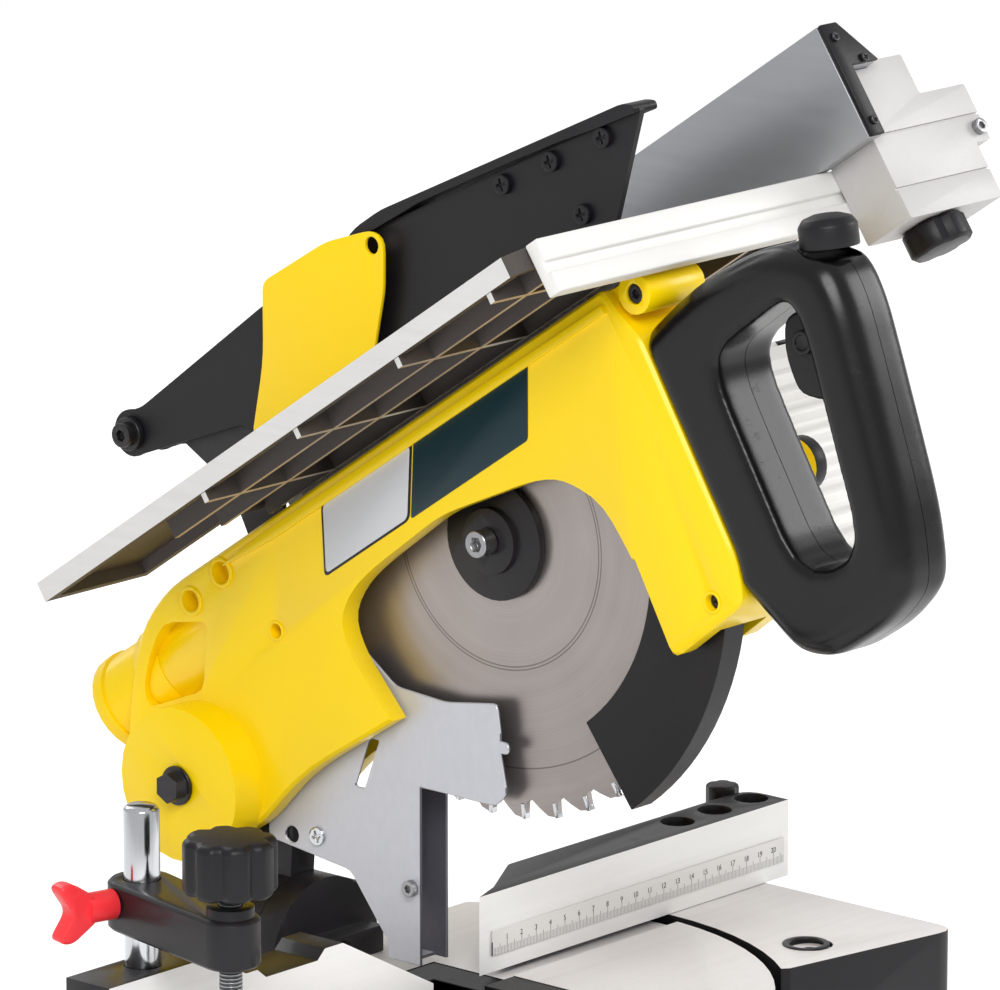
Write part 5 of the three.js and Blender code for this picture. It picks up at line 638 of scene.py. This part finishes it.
# %% [markdown]
# ## A turned solid
# Screws, rings and the wells cut for round pieces all start as a cylinder that stands on Z. Its sizes are given
# in millimetres, and its place goes into its mesh at once, so that it can be moved to a drawing frame later.

# %% A turned solid
TURNED_SIDES = 28


def cylinder(name, radius, low, high, sides=TURNED_SIDES):
    bpy.ops.object.select_all(action="DESELECT")
    bpy.ops.mesh.primitive_cylinder_add(vertices=sides, radius=radius * MM, depth=(high - low) * MM,
                                        location=(0, 0, (high + low) / 2 * MM))
    made = bpy.context.active_object
    made.name = name
    bpy.ops.object.transform_apply(location=True, rotation=True, scale=True)
    return made


print("a turned solid has", TURNED_SIDES, "sides")

# %% [markdown]
# ## The handle
# The handle is blow-moulded soft plastic: there isn't a sharp edge on it, and light runs over it in broad bands.
# The two halves are joined for a moment, rebuilt with an even skin and relaxed, and then cut apart again along the
# parting plane, so that the roundness runs over the seam and only a fine line is left. Relaxing also shrinks the
# well of the lock-off button, so the well is bored again afterwards.

# %% Rebuild the handle with a soft skin
SKIN_STEP = 0.0014
RELAX_STEPS = 36
BUTTON_PLACE, BUTTON_LEAN = (-2.5, -246.2, 31.0), math.radians(24)
BUTTON_FRAME = HEAD_FRAME @ Matrix.Translation(BUTTON_PLACE) @ Matrix.Rotation(BUTTON_LEAN, 4, "X")
WELL_RADIUS, WELL_LOW, WELL_HIGH, WELL_SIDES = 13.7, -11.4, 18, 56
SOFT_ANGLE = math.radians(60)


def soft_form(nodes, name):
    copies = [merged_copy(node) for node in nodes]
    bpy.ops.object.select_all(action="DESELECT")
    for copy in copies:
        copy.select_set(True)
    bpy.context.view_layer.objects.active = copies[0]
    bpy.ops.object.join()
    form = bpy.context.view_layer.objects.active
    form.name = name
    skin = form.modifiers.new("skin", "REMESH")
    skin.mode = "VOXEL"
    skin.voxel_size = SKIN_STEP
    relax = form.modifiers.new("relax", "SMOOTH")
    relax.factor = 0.5
    relax.iterations = RELAX_STEPS
    well = cylinder("button_well", WELL_RADIUS, WELL_LOW, WELL_HIGH, WELL_SIDES)
    well.data.transform(BUTTON_FRAME @ Matrix.Scale(1 / MM, 4))
    bore = form.modifiers.new("well", "BOOLEAN")
    bore.operation = "DIFFERENCE"
    bore.object = well
    apply_all(form)
    bpy.data.objects.remove(well)
    return form


def half_of(form, name, seam, direction):
    half = bpy.data.objects.new(name, form.data.copy())
    scene.collection.objects.link(half)
    bpy.ops.object.select_all(action="DESELECT")
    bpy.context.view_layer.objects.active = half
    half.select_set(True)
    bpy.ops.object.mode_set(mode="EDIT")
    bpy.ops.mesh.select_all(action="SELECT")
    bpy.ops.mesh.bisect(plane_co=seam, plane_no=direction, use_fill=True, clear_outer=True)
    bpy.ops.object.mode_set(mode="OBJECT")
    return smooth(half, SOFT_ANGLE)


whole_handle = soft_form(("handle_left", "handle_right"), "whole_handle")
for node, direction, edge in (("handle_left", (1, 0, 0), 1), ("handle_right", (-1, 0, 0), 0)):
    seam = (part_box(node)[edge].x, 0, 0)
    half = place(half_of(whole_handle, node + "_dressed", seam, direction), BLACK_GLOSS, BODY_OF[node],
                 SLOT_OF[node], node)
    print(node, "has", len(half.data.polygons), "faces")
bpy.data.objects.remove(whole_handle)

# %% [markdown]
# ## Fasteners
# Two kinds of screw hold the saw together: pan heads with a cross, and cap heads with a hexagon socket. Two more
# round pieces are made the same way: the raised ring round a hole in a casting, and the dished cover of a pin. Each
# kind is turned from a cylinder, its recess is cut with a boolean and its rim is rounded with a bevel. The pattern
# is then copied to each place, turned to face outward, and removed at the end.

# %% Patterns for screws


def slab(name, size_x, size_y, low, high):
    bpy.ops.object.select_all(action="DESELECT")
    bpy.ops.mesh.primitive_cube_add(size=1, location=(0, 0, (high + low) / 2 * MM))
    made = bpy.context.active_object
    made.name = name
    made.scale = (size_x * MM, size_y * MM, (high - low) * MM)
    bpy.ops.object.transform_apply(location=True, rotation=True, scale=True)
    return made


RIM_ANGLE = math.radians(40)


def carved(body, cutters, rim):
    for cutter in cutters:
        tool = body.modifiers.new("recess", "BOOLEAN")
        tool.operation = "DIFFERENCE"
        tool.object = cutter
    edge = body.modifiers.new("rim", "BEVEL")
    edge.width = rim * MM
    edge.segments = 3
    edge.limit_method = "ANGLE"
    edge.angle_limit = RIM_ANGLE
    apply_all(body)
    for cutter in cutters:
        bpy.data.objects.remove(cutter)
    return smooth(body)


SCREW = {
    "pan": carved(cylinder("pan_screw", 1, 0, 0.62), [slab("slot_a", 1.2, 0.26, 0.3, 1),
                                                       slab("slot_b", 0.26, 1.2, 0.3, 1)], 0.16),
    "cap": carved(cylinder("cap_screw", 1, 0, 0.8), [cylinder("socket", 0.52, 0.3, 1.2, 6)], 0.1),
    "eyelet": carved(cylinder("eyelet_ring", 1, 0, 0.12), [cylinder("eye", 0.74, -1, 1)], 0.05),
    "dome": carved(cylinder("plug", 1, 0, 0.5), [cylinder("dish", 0.62, 0.36, 1)], 0.12),
}
for pattern in SCREW.values():
    pattern.hide_render = True
print("screw patterns:", ", ".join(SCREW))

# %% Copy the screws to their places
placed_screws = []
SLOT_TURN = 0.35


def fasten(kind, radius, frame_of, place_mm, outward, finish, node):
    """Copies a screw pattern to a place in a drawing frame, facing a direction of that frame."""
    direction = (frame_of.to_3x3() @ Vector(outward)).normalized()
    turned = direction.to_track_quat("Z", "Y").to_matrix().to_4x4() @ Matrix.Rotation(SLOT_TURN, 4, "Z")
    mesh = SCREW[kind].data.copy()
    mesh.transform(Matrix.Translation(frame_of @ Vector(place_mm)) @ turned @ Matrix.Scale(radius, 4))
    made = bpy.data.objects.new(f"{kind}_screw_{len(placed_screws):02d}", mesh)
    scene.collection.objects.link(made)
    placed_screws.append(place(made, finish, BODY_OF[node], SLOT_OF[node]))


LEFT, FRONT, TOP = (-1, 0, 0), (0, -1, 0), (0, 0, 1)
HOOD_SCREWS = ((-99.7, 128.9), (-130.5, 124.8), (-163.1, 120.1), (-134.0, 97.1))
CAP_SCREWS = ((108.4, 88.0), (109.0, 129.0), (121.5, 117.0))
HOLE_RINGS = ((145.0, 53.9, 7.2), (169.9, 50.8, 7.0), (129.0, 17.0, 4.8), (-115.0, -80.0, 5.0))
fasten("pan", 3.4, HEAD_FRAME, (-16.6, -115.0, -80.0), LEFT, DARK_STEEL, "head_casting")
fasten("cap", 4.2, HEAD_FRAME, (-15.5, -148.4, 52.7), LEFT, DARK_STEEL, "head_casting")
for back, rise in HOOD_SCREWS:
    fasten("pan", 4.6, HEAD_FRAME, (-9.9, back, rise), LEFT, BLACK_PLASTIC, "blade_hood")
fasten("pan", 4.4, FLOOR_FRAME, (-8.2, 73.6, 58.4), LEFT, CHROME, "guard_bracket")
fasten("cap", 3.8, FLOOR_FRAME, (-9.5, 16.1, 44.8), LEFT, STEEL, "guard_bracket")
fasten("dome", 5.4, HEAD_FRAME, (-10.6, -215.3, -4.5), LEFT, BLACK_GLOSS, "trigger")
for across, rise in CAP_SCREWS:
    fasten("pan", 2.2, HEAD_FRAME, (across, -205.7, rise), FRONT, DARK_STEEL, "rip_fence_cap")
fasten("cap", 3.6, HEAD_FRAME, (183.0, -197.8, 76.5), FRONT, STEEL, "fence_carriage")
fasten("cap", 5.6, HEAD_FRAME, (-13.2, 171.0, 135.0), LEFT, DARK_STEEL, "hood_screw")
for back, rise, reach in HOLE_RINGS:
    fasten("eyelet", reach, HEAD_FRAME, (-21.9, back, rise), LEFT, YELLOW, "head_casting")
fasten("eyelet", 11.0, FLOOR_FRAME, (156.3, -77.9, -0.6), TOP, DARK_STEEL, "base_casting")
print("screws placed:", len(placed_screws))

# %% [markdown]
# ## Numbers on the ruler
# The ruler counts centimetres from the blade's side outward. The figures are plain text, turned to a thin mesh and
# laid on the ruler's face over each tenth division.

# %% Write the ruler's figures
FIGURE_HEIGHT, FIGURE_STEP, FIGURE_COUNT = 3.6, 10, 21
FIGURE_THICKNESS, FIGURE_STANDOFF, FIGURE_RISE = 0.04, 0.03, 0.52
figures_black = moulded("printed_black", srgb(40, 40, 42), srgb(60, 60, 62), 0.5, 300.0, 0.00001)
ruler_low, ruler_high = RULER_SPAN
for count in range(1, FIGURE_COUNT + 1):
    place_x = ruler_low.x + count * FIGURE_STEP * MM
    if place_x > ruler_high.x - FIGURE_STEP / 3 * MM:
        break
    bpy.ops.object.text_add(location=(0, 0, 0))
    figure = bpy.context.active_object
    figure.data.body = str(count)
    figure.data.size = FIGURE_HEIGHT * MM
    figure.data.align_x = "CENTER"
    figure.data.extrude = FIGURE_THICKNESS * MM
    bpy.ops.object.convert(target="MESH")
    figure = bpy.context.active_object
    height = ruler_low.z + (ruler_high.z - ruler_low.z) * FIGURE_RISE
    figure.data.transform(Matrix.Translation((place_x, ruler_low.y - FIGURE_STANDOFF * MM, height))
                          @ Matrix.Rotation(math.radians(90), 4, "X"))
    figure.name = f"ruler_figure_{count:02d}"
    place(figure, figures_black, BODY_OF["ruler_right"], SLOT_OF["ruler_right"])
print("figures on the ruler:", count - 1)

# %% [markdown]
# ## Plates on the head
# Two thin plates sit side by side on the operator's side of the head, cut at the same slant as the arch below
# them. They are left bare. Each is a polygon extruded by its own thickness, with rounded corners and edges.

# %% Make the bare plates


RIM_SHARE = 0.3


def thin_plate(name, corners, left, thickness, corner_radius, finish, node):
    mesh = bpy.data.meshes.new(name)
    build = bmesh.new()
    flat = build.faces.new([build.verts.new((0, y * MM, z * MM)) for y, z in corners])
    bmesh.ops.recalc_face_normals(build, faces=[flat])
    bmesh.ops.bevel(build, geom=list(build.verts), offset=corner_radius * MM, segments=4, affect="VERTICES",
                    profile=0.5)
    grown = bmesh.ops.extrude_face_region(build, geom=list(build.faces))
    bmesh.ops.translate(build, vec=(-thickness * MM, 0, 0),
                        verts=[v for v in grown["geom"] if isinstance(v, bmesh.types.BMVert)])
    bmesh.ops.recalc_face_normals(build, faces=list(build.faces))
    build.to_mesh(mesh)
    build.free()
    mesh.transform(Matrix.Translation((left * MM, 0, 0)))
    mesh.transform(HEAD_FRAME @ Matrix.Scale(1 / MM, 4))
    made = bpy.data.objects.new(name, mesh)
    scene.collection.objects.link(made)
    edge = made.modifiers.new("rim", "BEVEL")
    edge.width = thickness * RIM_SHARE * MM
    edge.segments = 2
    apply_all(made)
    return place(smooth(made), finish, BODY_OF[node], SLOT_OF[node])


PLATE_LEFT = -21.98
PLATES = [
    ("pale_plate_rim", [(3.5, 54.0), (25.1, 24.9), (87.3, 24.9), (70.0, 54.0)], 0.3, 3.0, BLACK_PLASTIC),
    ("pale_plate", [(5.9, 53.0), (26.0, 26.0), (85.2, 26.0), (69.2, 53.0)], 0.5, 2.4, PLATE_PALE),
    ("teal_plate", [(-78.4, 54.0), (-58.9, 24.9), (24.0, 24.9), (2.4, 54.0)], 0.5, 1.6, PLATE_TEAL),
]
for plate_name, corners, thickness, corner_radius, finish in PLATES:
    thin_plate(plate_name, corners, PLATE_LEFT, thickness, corner_radius, finish, "head_casting")
print("plates:", ", ".join(row[0] for row in PLATES))

# %% [markdown]
# ## Blade tips
# Each tooth carries a small hard-metal tip, slightly wider than the blade so that it cuts its own clearance. One
# tip is shaped and copied round the blade.

# %% Set the tips on the teeth
BLADE_RADIUS, BLADE_TEETH = 127, 40
TIP_LENGTH, TIP_DEPTH, TIP_WIDTH, TIP_RIM, TIP_LEAD = 2.4, 7.0, 3.2, 0.3, 0.3
tip = slab("tip_pattern", TIP_DEPTH, TIP_LENGTH, -TIP_WIDTH / 2, TIP_WIDTH / 2)
carved(tip, [], TIP_RIM)
tip.data.transform(Matrix.Translation(((BLADE_RADIUS - TIP_DEPTH / 2) * MM, TIP_LENGTH * TIP_LEAD * MM, 0)))
upright = Matrix(((0, 0, 1, 0), (1, 0, 0, 0), (0, 1, 0, 0), (0, 0, 0, 1)))
for tooth in range(BLADE_TEETH):
    mesh = tip.data.copy()
    around = Matrix.Rotation(2 * math.pi * tooth / BLADE_TEETH, 4, "Z")
    mesh.transform(HEAD_FRAME @ Matrix.Scale(1 / MM, 4) @ upright @ around)
    made = bpy.data.objects.new(f"blade_tip_{tooth:02d}", mesh)
    scene.collection.objects.link(made)
    place(made, CHROME, BODY_OF["blade"], SLOT_OF["blade"])
bpy.data.objects.remove(tip)
for pattern in SCREW.values():
    bpy.data.objects.remove(pattern)
print("tips:", BLADE_TEETH)

# %% [markdown]
# ## Floor
# The floor is one wide sheet under the feet. It is a pale, slightly rough surface, lifted a little for the camera
# and for reflections only, so that it reads as white paper while the saw's shadow still falls on it.

# %% Lay the floor
FLOOR_SIZE, FLOOR_LIFT = 30, 0.3
bpy.ops.mesh.primitive_plane_add(size=FLOOR_SIZE, location=(0, 0, 0))
floor = bpy.context.active_object
floor.name = "studio_floor"
paper = Finish("floor_paper", 0.9, 0.0)
seen = paper.node("LightPath", {}, {}, "Is Camera Ray")
mirrored = paper.node("LightPath", {}, {}, "Is Glossy Ray")
passed = paper.node("LightPath", {}, {}, "Is Transmission Ray")
paper.surface(Base_Color=srgb(245, 245, 245), Emission_Strength=FLOOR_LIFT,
              Emission_Color=paper.mixed((seen + mirrored + passed).clipped(), (0.0, 0.0, 0.0), (1.0, 1.0, 1.0)))
floor.data.materials.append(paper.material)
print("floor", FLOOR_SIZE, "m wide")
